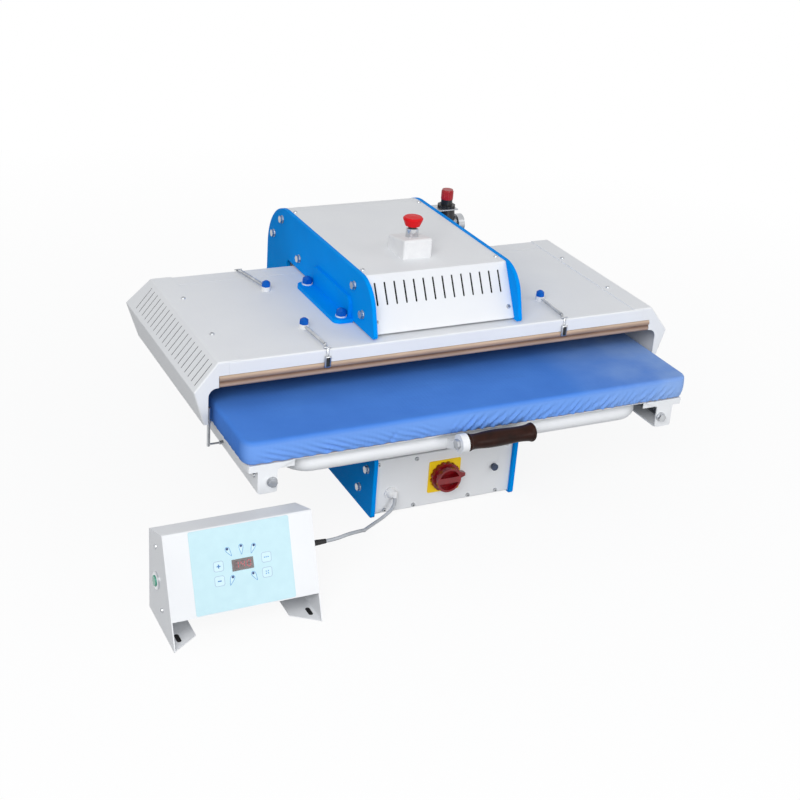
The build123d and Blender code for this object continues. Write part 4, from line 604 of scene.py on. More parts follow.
# %% Pucker field of the skirt
slant_height = 0.0023
shallow_height = 0.0021
gather_height = 0.0010
fold_place = -0.165
fold_width = 0.004
fold_depth = 0.0022
side_heights = (0.0006, 0.0013)
belly = 0.0009
tuck = 0.0016


def ripple(x, along, pitch, sway, scale, seed):
    """A wave along a direction, whose phase wanders so that no two puckers are alike."""
    return math.sin(2 * math.pi * along / pitch + sway * drift(x, scale, seed))


def front_pucker(x, drop, depth):
    """The front: steep slants at the right, long shallow waves at the left and a fold between."""
    lean_right = eased(x, -0.085, -0.03)
    lean_left = 1 - eased(x, -0.12, -0.07)
    corner = eased(cover_high.x - abs(x), 0.012, 0.06)
    slant = ripple(x, x + depth * 1.1, 0.0205, 3.6, 0.038, 1)
    slant += 0.55 * ripple(x, x + depth * 0.7, 0.0112, 3.2, 0.026, 2)
    shallow = ripple(x, x - depth * 2.4, 0.026, 2.5, 0.06, 3)
    gather = ripple(x, x, 0.0072, 2.0, 0.02, 4) * eased(drop, 0.45, 1.0)
    patch = 0.6 + 0.7 * drift(x, 0.05, 5)
    far_right = 1 - 0.45 * eased(x, 0.30, 0.42)
    lift = slant_height * lean_right * far_right * slant * eased(drop, -0.05, 0.65) * patch
    lift += shallow_height * lean_left * shallow * eased(drop, 0.0, 0.7) * patch
    lift += gather_height * gather * (0.5 + 0.5 * lean_right) * eased(x, -0.34, -0.2)
    fold = math.exp(-((x - fold_place + depth * 0.5) / fold_width) ** 2)
    return corner * (lift - fold_depth * fold * eased(drop, 0.1, 0.6))


def pucker(x, y, outward, drop):
    """How far the skirt stands out at a point, where drop goes from 0 at its top to 1 at its hem."""
    depth = drop * (skirt_top - skirt_foot)
    if outward.y < -0.5:
        return front_pucker(x, drop, depth)
    run = y if abs(outward.x) > 0.5 else x
    wave = ripple(run, run + depth * 0.5, 0.019, 2.5, 0.05, 6)
    fine = ripple(run, run, 0.0095, 2.0, 0.03, 7) * eased(drop, 0.5, 1.0)
    near_corner = 1.0 if abs(outward.x) < 0.5 or abs(outward.y) < 0.2 else 0.2
    height = side_heights[0] if outward.x < -0.5 else side_heights[1]
    patch = 0.7 + 0.5 * drift(run, 0.06, 8)
    return near_corner * eased(drop, 0.0, 0.8) * (height * wave + 0.6 * height * fine) * patch


def skirt_belly(drop):
    """The skirt bulges a little over the pad and tucks in at the elastic."""
    return belly * math.sin(math.pi * min(drop * 1.15, 1.0)) - tuck * eased(drop, 0.72, 1.0)


print("pucker at the hem's middle", round(pucker(0.0, cover_low.y, Vector((0, -1)), 1.0), 5))

# %% [markdown]
# ## Top of the cover
# The top is stretched smooth over the foam and sways by a third of a millimetre. A grid is laid
# on a square and bent to the rounded outline, with its rows closer at the front and back, where
# the skirt turns down. Cutting a ready grid to shape would leave thin, uneven faces in the corners.

# %% Flat top of the cover
columns = 392
rows = 62
top_sway = 0.00035
rim_fade = 12


def grid_share(i, j):
    """Column i and row j as places from -1 to 1; the rows lie closer at the front and back."""
    along = 2 * j / rows - 1
    return 2 * i / columns - 1, along * (1.35 - 0.35 * along * along)


points = []
faces = []
for j in range(rows + 1):
    for i in range(columns + 1):
        across, along = grid_share(i, j)
        place, outward = outline_place(across, along)
        sway = top_sway * mathutils_noise.noise(Vector((place.x / 0.11, place.y / 0.05, 3.1)))
        rim = min(1.0, (1 - max(abs(across), abs(along))) * rim_fade)
        points.append(Vector((place.x, place.y, cloth_top + sway * rim)))
for j in range(rows):
    for i in range(columns):
        a = j * (columns + 1) + i
        faces.append((a, a + 1, a + columns + 2, a + columns + 1))
print("top", len(faces), "faces")

# %% [markdown]
# ## Skirt and hem of the cover
# From the rim of the top the cloth turns over a soft edge, hangs as the puckered skirt and tucks
# under at the hem, where the elastic holds it. Each row follows the rim and steps out and down,
# as an extrusion by hand would, and Solidify gives the cloth its 0.6 mm.

# %% Skirt and hem of the cover
rim_steps = [(i, 0) for i in range(columns)] + [(columns, j) for j in range(rows)]
rim_steps += [(i, rows) for i in range(columns, 0, -1)] + [(0, j) for j in range(rows, 0, -1)]
upper = [j * (columns + 1) + i for i, j in rim_steps]
rim_places = [outline_place(*grid_share(i, j)) for i, j in rim_steps]
edge_rows = 4
skirt_rows = 13
hem_rows = [(-0.0012, 0.2208), (-0.0030, 0.2197), (-0.0048, 0.2200), (-0.0058, 0.2216)]
levels = [("edge", step / edge_rows) for step in range(1, edge_rows + 1)]
levels += [("skirt", step / skirt_rows) for step in range(1, skirt_rows + 1)]
levels += [("hem", step) for step in range(len(hem_rows))]
for kind, share in levels:
    lower = []
    for place, outward in rim_places:
        rest = place + outward * edge_round
        if kind == "edge":
            turn_angle = share * math.pi / 2
            out = edge_round * math.sin(turn_angle)
            z = cloth_top - edge_round * (1 - math.cos(turn_angle))
        elif kind == "skirt":
            out = edge_round + skirt_belly(share) + pucker(rest.x, rest.y, outward, share)
            z = skirt_top - share * (skirt_top - skirt_foot)
        else:
            inward, z = hem_rows[share]
            fading = 1 - share / len(hem_rows)
            out = edge_round + skirt_belly(1.0) + inward + pucker(rest.x, rest.y, outward, 1.0) * fading
        points.append(Vector((*(place + outward * out), z)))
        lower.append(len(points) - 1)
    for step in range(len(upper)):
        following = (step + 1) % len(upper)
        faces.append((upper[step], lower[step], lower[following], upper[following]))
    upper = lower
cover_mesh = bpy.data.meshes.new("buck_cotton")
cover_mesh.from_pydata(points, [], faces)
buck_cotton = bpy.data.objects.new("buck_cotton", cover_mesh)
bpy.context.scene.collection.objects.link(buck_cotton)
apply_modifier(buck_cotton, "SOLIDIFY", thickness=cloth_thickness, offset=-1.0)
settle(buck_cotton, "buck_cotton", finishes["blue_cloth"], smooth=60)
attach(buck_cotton, "tray")
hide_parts("buck_cover")
print("cover", len(buck_cotton.data.polygons), "faces")


# %% [markdown]
# ## Pad of the buck
# Under the cotton lies a firm foam pad on the board. It is cut from a sheet and its upper edge
# is pressed round by the cover. Only its rim could ever be seen, past the hem, so a block with
# bevelled corners and a rounded upper edge is enough.

# %% Pad of the buck
pad_low, pad_high = [Vector(corner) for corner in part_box("buck_pad")]
start_clean()
bpy.ops.mesh.primitive_cube_add(size=1, location=(pad_low + pad_high) / 2)
pad = bpy.context.object
pad_step = 0.0044
pad_play = Vector((0.001, 0.001, 0.0005))
pad.location.z -= pad_step / 2
pad.scale = pad_high - pad_low - Vector((0, 0, pad_step)) - pad_play
bpy.ops.object.transform_apply(location=True, rotation=False, scale=True)
pick(pad, "EDGE", lambda middle, way: abs(way.z) > 0.9)
bpy.ops.mesh.bevel(offset=0.020, segments=8)
leave_edit()
pick(pad, "FACE", lambda middle, normal: normal.z > 0.9)
for width, rise in ((0.0012, 0.0022), (0.0030, 0.0012)):
    bpy.ops.mesh.inset(thickness=width, depth=rise)
leave_edit()
settle(pad, "pressing_pad", finishes["foam"])
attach(pad, "tray")
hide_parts("buck_pad")
print("pad", [round(value, 4) for value in pad.dimensions])

# %% [markdown]
# ## Slip sheet of the heated plate
# A sheet of coated glass cloth lies tight under the heated plate. Its front edge is folded over
# twice and hangs as two soft rolls below the lip of the cover, and springs pull it tight. One
# profile across the sheet, with the rolls as arcs, is drawn along the plate and wanders a little.

# %% Slip sheet of the heated plate
def arc_points(middle_y, middle_z, radius, first, last, steps):
    """Points (y, z) on an arc between two angles in degrees."""
    angles = [math.radians(first + (last - first) * step / steps) for step in range(steps + 1)]
    return [(middle_y + radius * math.cos(angle), middle_z + radius * math.sin(angle))
            for angle in angles]


sheet_low, sheet_high = [Vector(corner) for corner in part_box("ptfe_sheet")]
upper_roll = arc_points(-0.2514, 0.3162, 0.0054, 100, 250, 12)
lower_roll = arc_points(-0.2510, 0.3050, 0.0053, 112, 262, 12)
underside = [(-0.246, 0.2995)] + [(y, 0.2993) for y in (-0.235, -0.15, -0.05, 0.05, 0.143)]
back_hem = [(0.1455, 0.3003), (0.1459, 0.303), (0.1459, 0.312), (0.1459, 0.3218)]
sheet_profile = upper_roll + lower_roll + underside + back_hem
sheet_columns = 150
end_play = 0.0005
droop_points = range(5, 22)
points = []
faces = []
for i in range(sheet_columns + 1):
    x = sheet_low.x + end_play + (sheet_high.x - sheet_low.x - 2 * end_play) * i / sheet_columns
    for k, (y, z) in enumerate(sheet_profile):
        if k < len(upper_roll) + len(lower_roll):
            y += 0.0005 * drift(x, 0.07, 11 if k < len(upper_roll) else 12)
            if k in droop_points:
                z += 0.0004 * drift(x, 0.11, 13)
        points.append((x, y, z))
for i in range(sheet_columns):
    for k in range(len(sheet_profile) - 1):
        a = i * len(sheet_profile) + k
        b = a + len(sheet_profile)
        faces.append((a, a + 1, b + 1, b))
slip_mesh = bpy.data.meshes.new("slip_sheet")
slip_mesh.from_pydata(points, [], faces)
slip_sheet = bpy.data.objects.new("slip_sheet", slip_mesh)
bpy.context.scene.collection.objects.link(slip_sheet)
apply_modifier(slip_sheet, "SOLIDIFY", thickness=0.0004, offset=0.0)
settle(slip_sheet, "slip_sheet", finishes["ptfe_cloth"], smooth=60)
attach(slip_sheet, "frame")
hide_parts("ptfe_sheet")

# %% [markdown]
# ## Tensioners of the slip sheet
# A coil spring on each dome-capped post pulls a steel strap that goes over the lip of the cover
# and holds the sheet with a buckle. The spring is a small circle turned by a Screw modifier. The
# strap is a strip with its end extruded down, and the buckle a frame round a dark opening. One
# set is made and copied to the four posts. The back springs are the longer ones, so the same
# coil is pulled out further.

# %% Coil of wire
spring_radius = 0.0034
wire_radius = 0.0006
coil_turns = 36
coil_length = 0.074
eye_radius = 0.0026
eye_gap = 0.0018
start_clean()
bpy.ops.mesh.primitive_circle_add(
    vertices=6, radius=wire_radius, location=(spring_radius - wire_radius, 0, 0),
    rotation=(math.radians(90), 0, 0))
coil = bpy.context.object
fix_place()
apply_modifier(coil, "SCREW", axis="Z", angle=math.radians(360), screw_offset=coil_length / coil_turns,
               iterations=coil_turns, steps=10, render_steps=10)
pick(coil, "FACE", lambda middle, normal: True)
bpy.ops.mesh.remove_doubles(threshold=0.00001)
bpy.ops.mesh.normals_make_consistent(inside=False)
leave_edit()
eyes = []
for level in (coil_length + eye_gap, -eye_gap):
    start_clean()
    bpy.ops.mesh.primitive_torus_add(
        major_radius=eye_radius, minor_radius=wire_radius, major_segments=16, minor_segments=6,
        location=(0, 0, level), rotation=(0, math.radians(90), 0))
    fix_place()
    eyes.append(bpy.context.object)
coil = join([coil] + eyes, "coil")
coil.data.materials.append(finishes["zinc_steel"])
print("coil", len(coil.data.polygons), "faces")


# %% [markdown]
# ## Strap, bar and buckle
# The strap is a zinc-plated steel strip that goes over the lip and down its front. A short round
# bar lies across it and a buckle with a dark opening closes its end. A plane whose two ends are
# extruded, then given a thickness, keeps the even gauge of real strip at its bends.

# %% Strap, bar and buckle at the front edge
strap_width = 0.005
strap_reach = 0.0126
strap_drop = 0.0372
strap_thickness = 0.0011
bar_radius = 0.0013
bar_length = 0.014
buckle_size = (0.0125, 0.0022, 0.0225)
buckle_frame = 0.0021


def strap_and_buckle():
    """Strap over the lip, bar and buckle, for a hook at the origin and an edge 12 mm in front."""
    start_clean()
    bpy.ops.mesh.primitive_plane_add(size=1, location=(0, -0.0062, 0.0))
    strap = bpy.context.object
    strap.scale = (strap_width, strap_reach, 1)
    fix_place()
    pick(strap, "EDGE", lambda middle, way: middle.y < -0.012)
    pull_out(0, 0, -strap_drop)
    leave_edit()
    pick(strap, "EDGE", lambda middle, way: middle.y > -0.001)
    pull_out(0, 0.0016, 0.0012)
    leave_edit()
    apply_modifier(strap, "SOLIDIFY", thickness=strap_thickness, offset=1.0)
    apply_modifier(strap, "BEVEL", width=0.0004, segments=2, limit_method="ANGLE")
    strap.data.materials.append(finishes["zinc_steel"])
    start_clean()
    bpy.ops.mesh.primitive_cylinder_add(
        vertices=14, radius=bar_radius, depth=bar_length, location=(0, -0.0094, 0.0014),
        rotation=(0, math.radians(90), 0))
    bar = bpy.context.object
    fix_place()
    pick(bar, "FACE", lambda middle, normal: abs(normal.x) > 0.9)
    bpy.ops.mesh.inset(thickness=0.0004)
    bpy.ops.transform.resize(value=(1.06, 1, 1))
    leave_edit()
    bar.data.materials.append(finishes["zinc_steel"])
    start_clean()
    bpy.ops.mesh.primitive_cube_add(size=1, location=(0, -0.0147, -0.0250))
    buckle = bpy.context.object
    buckle.scale = buckle_size
    fix_place()
    buckle.data.materials.append(finishes["zinc_steel"])
    buckle.data.materials.append(print_inks["recess"])
    pick(buckle, "EDGE", lambda middle, way: abs(way.y) > 0.9)
    bpy.ops.mesh.bevel(offset=0.0012, segments=3)
    leave_edit()
    pick(buckle, "FACE", lambda middle, normal: normal.y < -0.9)
    bpy.ops.mesh.inset(thickness=buckle_frame)
    pull_out(0, 0.0012, 0)
    use_second_material(buckle)
    leave_edit()
    return join([strap, bar, buckle], "strap_set")


strap_set = strap_and_buckle()
print("strap", [round(value, 4) for value in strap_set.dimensions])

# %% [markdown]
# ## Four tensioners
# Two springs pull at the front edge of the sheet and two longer ones at the back. One coil and
# one strap are enough: each copy of the coil is aimed from its post to its hook and stretched to
# that length, and each copy of the strap is set on its hook, turned round for the back.

# %% Four tensioners
tensioners = []
spring_level = 0.3522
strap_level = 0.3492
posts_and_hooks = (((0.250, -0.163), (0.2455, -0.2432)), ((0.252, 0.047), (0.270, 0.1362)))
for side in (-1, 1):
    for post, hook in posts_and_hooks:
        start = Vector((side * post[0], post[1], spring_level))
        end = Vector((side * hook[0], hook[1], spring_level))
        pull = end - start
        lengthen = (pull.length - 0.0050) / coil_length
        aim = pull.to_track_quat("Z", "X").to_matrix().to_4x4()
        spring = copy_piece(coil, Matrix.Translation(start + pull.normalized() * 0.0025) @ aim
                            @ Matrix.Diagonal((1, 1, lengthen, 1)))
        to_back = Matrix.Rotation(math.radians(180), 4, "Z") if hook[1] > 0 else Matrix.Identity(4)
        strap = copy_piece(strap_set, Matrix.Translation((end.x, end.y, strap_level)) @ to_back)
        tensioners += [spring, strap]
bpy.data.objects.remove(coil)
bpy.data.objects.remove(strap_set)
tensioners = join(tensioners, "sheet_springs")
settle(tensioners, "sheet_springs", smooth=40)
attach(tensioners, "frame")
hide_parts("sheet_tensioners")
print("tensioners", len(tensioners.data.polygons), "faces")

# %% [markdown]
# ## Screw recesses
# Each panel screw has a hexagon recess for its key. The heads come from the CAD model as plain
# domes, so one small six-sided cup is modelled and copied to each head, turned to its face.

# %% One recess
key_radius = 0.0021
start_clean()
bpy.ops.mesh.primitive_cylinder_add(
    vertices=6, radius=key_radius, depth=0.0005, location=(0, 0, 0.00005))
recess = bpy.context.object
fix_place()
recess.data.materials.append(finishes["zinc_steel"])
recess.data.materials.append(print_inks["recess"])
pick(recess, "FACE", lambda middle, normal: normal.z > 0.9)
bpy.ops.mesh.inset(thickness=0.0004)
pull_out(0, 0, -0.0003)
use_second_material(recess)
leave_edit()
print("recess", len(recess.data.polygons), "faces")

# %% [markdown]
# ## A recess on each panel screw
# The screws hold the head's lid and slope, the end covers, the front panel of the base and the
# sides of the controller. Each copy of the recess is set on its screw and turned to face out of
# that surface, which is quicker and truer than modelling it once for each direction.

# %% A recess on each panel screw
head_height = 0.0024
head_top = 0.448
cover_level = 0.3486
panel_front = -0.280
case_left = -0.620
case_right = -0.366
head_edge = Vector((0, -0.180, head_top))
head_lean = math.atan2(0.054, 0.097)
head_slope_out = Vector((0, -math.cos(head_lean), math.sin(head_lean)))
head_slope_down = Vector((0, -math.sin(head_lean), -math.cos(head_lean)))
head_slope_frame = Matrix((Vector((1, 0, 0)), -head_slope_down, head_slope_out)).transposed().to_4x4()
upright = Matrix.Identity(4)
to_front = Matrix.Rotation(math.radians(90), 4, "X")
to_left = Matrix.Rotation(math.radians(-90), 4, "Y")
to_right = Matrix.Rotation(math.radians(90), 4, "Y")
screw_places = []
for side in (-1, 1):
    for y in (0.178, -0.154):
        screw_places.append(((side * 0.139, y, head_top + head_height), upright))
    for x, y in ((0.418, 0.035), (0.420, -0.138)):
        screw_places.append(((side * x, y, cover_level + head_height), upright))
for x, z in ((-0.141, 0.109), (-0.123, 0.0095), (-0.062, 0.109), (-0.062, 0.0095),
             (0.056, 0.0095), (0.117, 0.0095), (0.133, 0.109)):
    screw_places.append(((x, panel_front - head_height, z), to_front))
for x in (-0.137, 0.137):
    spot = head_edge + Vector((x, 0, 0)) + head_slope_down * 0.086 + head_slope_out * head_height
    screw_places.append((spot, head_slope_frame))
for y, z in ((-0.4615, 0.1395), (-0.496, 0.0395)):
    screw_places.append(((case_left - head_height, y, z), to_left))
    screw_places.append(((case_right + head_height, y, z), to_right))
recesses = [copy_piece(recess, Matrix.Translation(spot) @ turn) for spot, turn in screw_places]
bpy.data.objects.remove(recess)
screw_recesses = join(recesses, "screw_recesses")
settle(screw_recesses, "screw_recesses", smooth=0)
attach(screw_recesses, "frame")
print("recesses", len(recesses))

# %% [markdown]
# ## Painted shade behind the vents
# Behind the slots of the head and the louvres of both end covers lies a black block of painted
# shade, which stands for the shade inside the vents. Each is a thin block a few millimetres behind
# its wall, turned to the wall's slope. It bulges into each louvre, up to 0.3 mm under the paint, so that
# they read as dark lines.

# %% Painted shade behind the vents
end_slope = math.atan2(0.0526, 0.0435)
head_shade_size = (0.272, 0.052, 0.0008)
end_shade_size = (0.060, 0.372, 0.0008)
louvre_size = (0.0485, 0.0018, 0.0013)
louvre_count = 20
louvre_pitch = 0.0188
first_louvre = -0.240


def felt_block(size):
    start_clean()
    bpy.ops.mesh.primitive_cube_add(size=1)
    block = bpy.context.object
    block.scale = size
    fix_place()
    block.data.materials.append(print_inks["vent_shade"])
    return block


# painted shade: black blocks stand for the shade inside the head's slots and the end covers' louvres
head_slot_shade = felt_block(head_shade_size)
head_shade_middle = head_edge + head_slope_down * 0.036 - head_slope_out * 0.0036
head_slot_shade.data.transform(Matrix.Translation(head_shade_middle) @ head_slope_frame)
end_vent_shade = felt_block(end_shade_size)
louvre_shade = felt_block(louvre_size)
vent_shades = [head_slot_shade]
for side in (-1, 1):
    lean = Matrix.Rotation(side * end_slope, 4, "Y")
    vent_shades.append(copy_piece(end_vent_shade, Matrix.Translation((side * 0.4673, -0.0614, 0.3203)) @ lean))
    for count in range(louvre_count):
        spot = (side * 0.46906, first_louvre + louvre_pitch * count, 0.32173)
        vent_shades.append(copy_piece(louvre_shade, Matrix.Translation(spot) @ lean))
bpy.data.objects.remove(end_vent_shade)
bpy.data.objects.remove(louvre_shade)
painted_vent_shade = join(vent_shades, "painted_vent_shade")
settle(painted_vent_shade, "painted_vent_shade", smooth=0)
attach(painted_vent_shade, "frame")
print("vent_shades", len(vent_shades))

# %% [markdown]
# ## Print of the control overlay
# The controller's film has a small red three-digit display, four keys with rounded corners, two
# with plus and minus signs, and five pointers round the display, drawn as drops with a dark dot.
# Each is modelled flat, a few hundredths of a millimetre thick, and then laid on the sloping
# face. It is the simplest way to get clean lines that a texture would blur.

# %% The sloping face as a place to draw
case_lean = math.atan2(0.070, 0.177)
slope_down = Vector((0, -math.sin(case_lean), -math.cos(case_lean)))
slope_out = Vector((0, -math.cos(case_lean), math.sin(case_lean)))
slope_top = Vector((0, -0.492, 0.177))
film = 0.0008
ink_thickness = 0.00006


def on_slope(x, down, height=0.0, turn=0.0):
    """A matrix that lays a shape drawn in the XY plane on the slope, down from its upper edge."""
    axes = Matrix((Vector((1, 0, 0)), -slope_down, slope_out)).transposed().to_4x4()
    spot = slope_top + Vector((x, 0, 0)) + slope_down * down + slope_out * (film + height)
    return Matrix.Translation(spot) @ axes @ Matrix.Rotation(math.radians(turn), 4, "Z")


def flat_shape(width, height, corner, material, border=None, border_width=0.0):
    """A thin plate with round corners, with a border of another ink where one is given."""
    start_clean()
    bpy.ops.mesh.primitive_plane_add(size=1)
    shape = bpy.context.object
    shape.scale = (width, height, 1)
    fix_place()
    bpy.ops.object.mode_set(mode="EDIT")
    bpy.ops.mesh.select_all(action="SELECT")
    bpy.ops.mesh.bevel(offset=corner, segments=5, affect="VERTICES")
    leave_edit()
    shape.data.materials.append(border or material)
    if border:
        shape.data.materials.append(material)
        pick(shape, "FACE", lambda middle, normal: True)
        bpy.ops.mesh.inset(thickness=border_width)
        use_second_material(shape)
        leave_edit()
    pick(shape, "FACE", lambda middle, normal: True)
    pull_out(0, 0, ink_thickness)
    leave_edit()
    return shape


print("the film leans back by", round(math.degrees(case_lean), 1), "degrees")

# %% [markdown]
# ## Keys of the overlay
# Four keys with rounded corners and a thin grey outline are printed on the film: plus and minus
# at the left of the display, and two with small dashes at its right. A square whose corners are
# bevelled gives a key, and an inset with a second ink gives its outline.

# %% Keys with plus and minus
plus_key = (-0.5335, 0.065)
minus_key = (-0.534, 0.089)
dash_key = (-0.452, 0.064)
star_key = (-0.453, 0.089)
key_width = 0.0170
drawn = []
for key_place in (plus_key, minus_key, dash_key, star_key):
    key = flat_shape(key_width, key_width, 0.0038, print_inks["pale"], print_inks["outline"], 0.0007)
    key.data.transform(on_slope(*key_place))
    drawn.append(key)
for key_place, turn in ((plus_key, 0), (plus_key, 90), (minus_key, 0)):
    bar = flat_shape(0.0066, 0.0018, 0.0006, print_inks["sign"])
    bar.data.transform(on_slope(*key_place, ink_thickness, turn))
    drawn.append(bar)
dash = flat_shape(0.0026, 0.0015, 0.0005, print_inks["line"])
for step in (-1, 0, 1):
    drawn.append(copy_piece(dash, on_slope(dash_key[0] + step * 0.0032, dash_key[1], ink_thickness)))
for turn in (45, 135, 225, 315):
    angle = math.radians(turn)
    x, down = star_key[0] + 0.0026 * math.cos(angle), star_key[1] - 0.0026 * math.sin(angle)
    drawn.append(copy_piece(dash, on_slope(x, down, ink_thickness, turn)))
bpy.data.objects.remove(dash)
print("keys", len(drawn))


# %% [markdown]
# ## Pointers round the display
# Each pointer is a printed drop with a dark dot in its round end. A circle whose lower half is
# pulled long and narrow gives the drop, and an inset its dark line. One drop is copied five times.

# %% Pointers round the display
drop_radius = 0.0040
drop_middle = 0.005
tip_stretch = 3.4
dot_radius = 0.0022


def pointer_drop():
    """A drop 8 mm wide and 20 mm long with a dark dot at its round end, tip down."""
    start_clean()
    bpy.ops.mesh.primitive_circle_add(
        vertices=28, radius=drop_radius, fill_type="NGON", location=(0, drop_middle, 0))
    drop = bpy.context.object
    fix_place()
    for vertex in drop.data.vertices:
        if vertex.co.y < drop_middle:
            vertex.co.y = drop_middle + (vertex.co.y - drop_middle) * tip_stretch
            vertex.co.x *= 0.6 + 0.4 * eased(vertex.co.y, -0.008, drop_middle)
    drop.data.materials.append(print_inks["line"])
    drop.data.materials.append(print_inks["pale"])
    pick(drop, "FACE", lambda middle, normal: True)
    bpy.ops.mesh.inset(thickness=0.0009)
    use_second_material(drop)
    bpy.ops.mesh.select_all(action="SELECT")
    pull_out(0, 0, ink_thickness)
    leave_edit()
    bpy.ops.mesh.primitive_circle_add(
        vertices=16, radius=dot_radius, fill_type="NGON", location=(0, 0.0056, 0.00008))
    dot = bpy.context.object
    fix_place()
    dot.data.materials.append(print_inks["dot"])
    pick(dot, "FACE", lambda middle, normal: True)
    pull_out(0, 0, 0.00005)
    leave_edit()
    return join([drop, dot], "pointer_drop")


drop = pointer_drop()
pointer_places = ((-0.514, 0.0446, 28), (-0.493, 0.0438, 0), (-0.4736, 0.0458, -24),
                  (-0.5138, 0.0914, -22), (-0.4745, 0.0913, 26))
for x, down, turn in pointer_places:
    drawn.append(copy_piece(drop, on_slope(x, down, 0.0, turn)))
bpy.data.objects.remove(drop)
print("pointers", len(pointer_places))

# %% [markdown]
# ## Red digits in the display
# The display is a window of dark acrylic with three digits of seven segments. The segments that
# are off stay faintly visible, as in a real display. A flat hexagon makes a segment, turned
# upright for the sides, and a small table says which segments each digit lights.

# %% Red digits in the display
display_place = (-0.493, 0.068)
digit_pitch = 0.0105
window = flat_shape(0.0366, 0.0190, 0.0008, print_inks["window"])
window.data.transform(on_slope(*display_place, 0.0005))
drawn.append(window)
segment_places = {"top": (0, 0.0052, 0), "middle": (0, 0, 0), "bottom": (0, -0.0052, 0),
                  "upper_left": (-0.0029, 0.0026, 90), "upper_right": (0.0029, 0.0026, 90),
                  "lower_left": (-0.0029, -0.0026, 90), "lower_right": (0.0029, -0.0026, 90)}
digit_segments = {"1": ["upper_right", "lower_right"],
                  "4": ["upper_left", "upper_right", "middle", "lower_right"],
                  "0": ["top", "bottom", "upper_left", "upper_right", "lower_left", "lower_right"]}
for place, digit in enumerate("140"):
    for name, (x, y, turn) in segment_places.items():
        ink = print_inks["digit"] if name in digit_segments[digit] else print_inks["dim_digit"]
        start_clean()
        bpy.ops.mesh.primitive_circle_add(vertices=6, radius=0.0024, fill_type="NGON")
        segment = bpy.context.object
        segment.scale = (1, 0.3, 1)
        fix_place()
        segment.data.materials.append(ink)
        pick(segment, "FACE", lambda middle, normal: True)
        pull_out(0, 0, 0.00005)
        leave_edit()
        spot = on_slope(display_place[0] + (place - 1) * digit_pitch, display_place[1], 0.00062)
        segment.data.transform(spot @ Matrix.Translation((x, y, 0))
                               @ Matrix.Rotation(math.radians(turn), 4, "Z"))
        drawn.append(segment)
overlay_print = join(drawn, "overlay_print")
settle(overlay_print, "overlay_print", smooth=0)
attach(overlay_print, "frame")
print("overlay print", len(overlay_print.data.polygons), "faces")

# %% [markdown]
# ## Dial of the pressure gauge
# The gauge faces the side of the press. Its dial is white enamel with ticks every tenth of the
# sweep and plain figures from 0 to 10, under a clear window. The needle is a CAD node that turns.

# %% Dial of the pressure gauge
dial_middle = Vector((0.2300, 0.160, 0.4015))
dial_radius = 0.0183
tick_reach = 0.0168
figure_reach = 0.0115
zero_angle = 135
sweep = 270
tick_count = 50
facing_right = Matrix((Vector((0, 1, 0)), Vector((0, 0, 1)), Vector((1, 0, 0)))).transposed().to_4x4()
dial_frame = Matrix.Translation(dial_middle) @ facing_right
start_clean()
bpy.ops.mesh.primitive_circle_add(vertices=64, radius=dial_radius, fill_type="NGON")
dial = bpy.context.object
dial.data.materials.append(print_inks["dial"])
pick(dial, "FACE", lambda middle, normal: True)
bpy.ops.mesh.inset(thickness=0.0006)
pull_out(0, 0, 0.0001)
leave_edit()
dial.data.transform(dial_frame)
dial_pieces = [dial]
for tick in range(tick_count + 1):
    angle = math.radians(zero_angle - sweep * tick / tick_count)
    major = tick % 5 == 0
    length = 0.0026 if major else 0.0014
    mark = flat_shape(length, 0.0005 if major else 0.00028, 0.0001, print_inks["mark"])
    reach = tick_reach - length / 2
    spot = Matrix.Translation((reach * math.cos(angle), reach * math.sin(angle), 0.00012))
    mark.data.transform(dial_frame @ spot @ Matrix.Rotation(angle, 4, "Z"))
    dial_pieces.append(mark)
for figure in range(0, 11, 2):
    angle = math.radians(zero_angle - sweep * figure / 10)
    start_clean()
    bpy.ops.object.text_add()
    text = bpy.context.object
    text.data.body = str(figure)
    text.data.size = 0.0042
    text.data.align_x = "CENTER"
    text.data.align_y = "CENTER"
    text.data.extrude = 0.00003
    text.data.resolution_u = 3
    bpy.ops.object.convert(target="MESH")
    figure_piece = bpy.context.object
    figure_piece.data.materials.clear()
    figure_piece.data.materials.append(print_inks["mark"])
    spot = (figure_reach * math.cos(angle), figure_reach * math.sin(angle), 0.00015)
    figure_piece.data.transform(dial_frame @ Matrix.Translation(spot))
    dial_pieces.append(figure_piece)
gauge_dial = join(dial_pieces, "gauge_dial")
settle(gauge_dial, "gauge_dial", smooth=0)
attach(gauge_dial, "frame")
print("gauge dial", len(gauge_dial.data.polygons), "faces")

# %% [markdown]
# ## Window of the pressure gauge
# The gauge's window is a shallow dome of clear plastic. A large ball that is cut down to its cap
# has just that curve, and Solidify gives the wall its thickness.

# %% Window of the pressure gauge
glass_curve = 0.06
start_clean()
bpy.ops.mesh.primitive_uv_sphere_add(segments=48, ring_count=48, radius=glass_curve)
glass = bpy.context.object
pick(glass, "FACE", lambda middle, normal: middle.z < glass_curve - 0.0028)
bpy.ops.mesh.delete(type="FACE")
leave_edit()
glass_place = Matrix.Translation(dial_middle + Vector((0.0028, 0, 0))) @ facing_right
glass.data.transform(glass_place @ Matrix.Translation((0, 0, 0.0002 - glass_curve)))
apply_modifier(glass, "SOLIDIFY", thickness=0.0006, offset=-1.0)
settle(glass, "gauge_glass", gauge_glass, smooth=60)
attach(glass, "frame")
print("gauge glass", [round(value, 4) for value in glass.dimensions])

# %% [markdown]
# ## Rubber in the controller's feet
# Each foot of the controller has two long slots, each filled with a black rubber grommet, so that
# the slots read black. A cylinder pulled long in one direction gives the slot's shape.

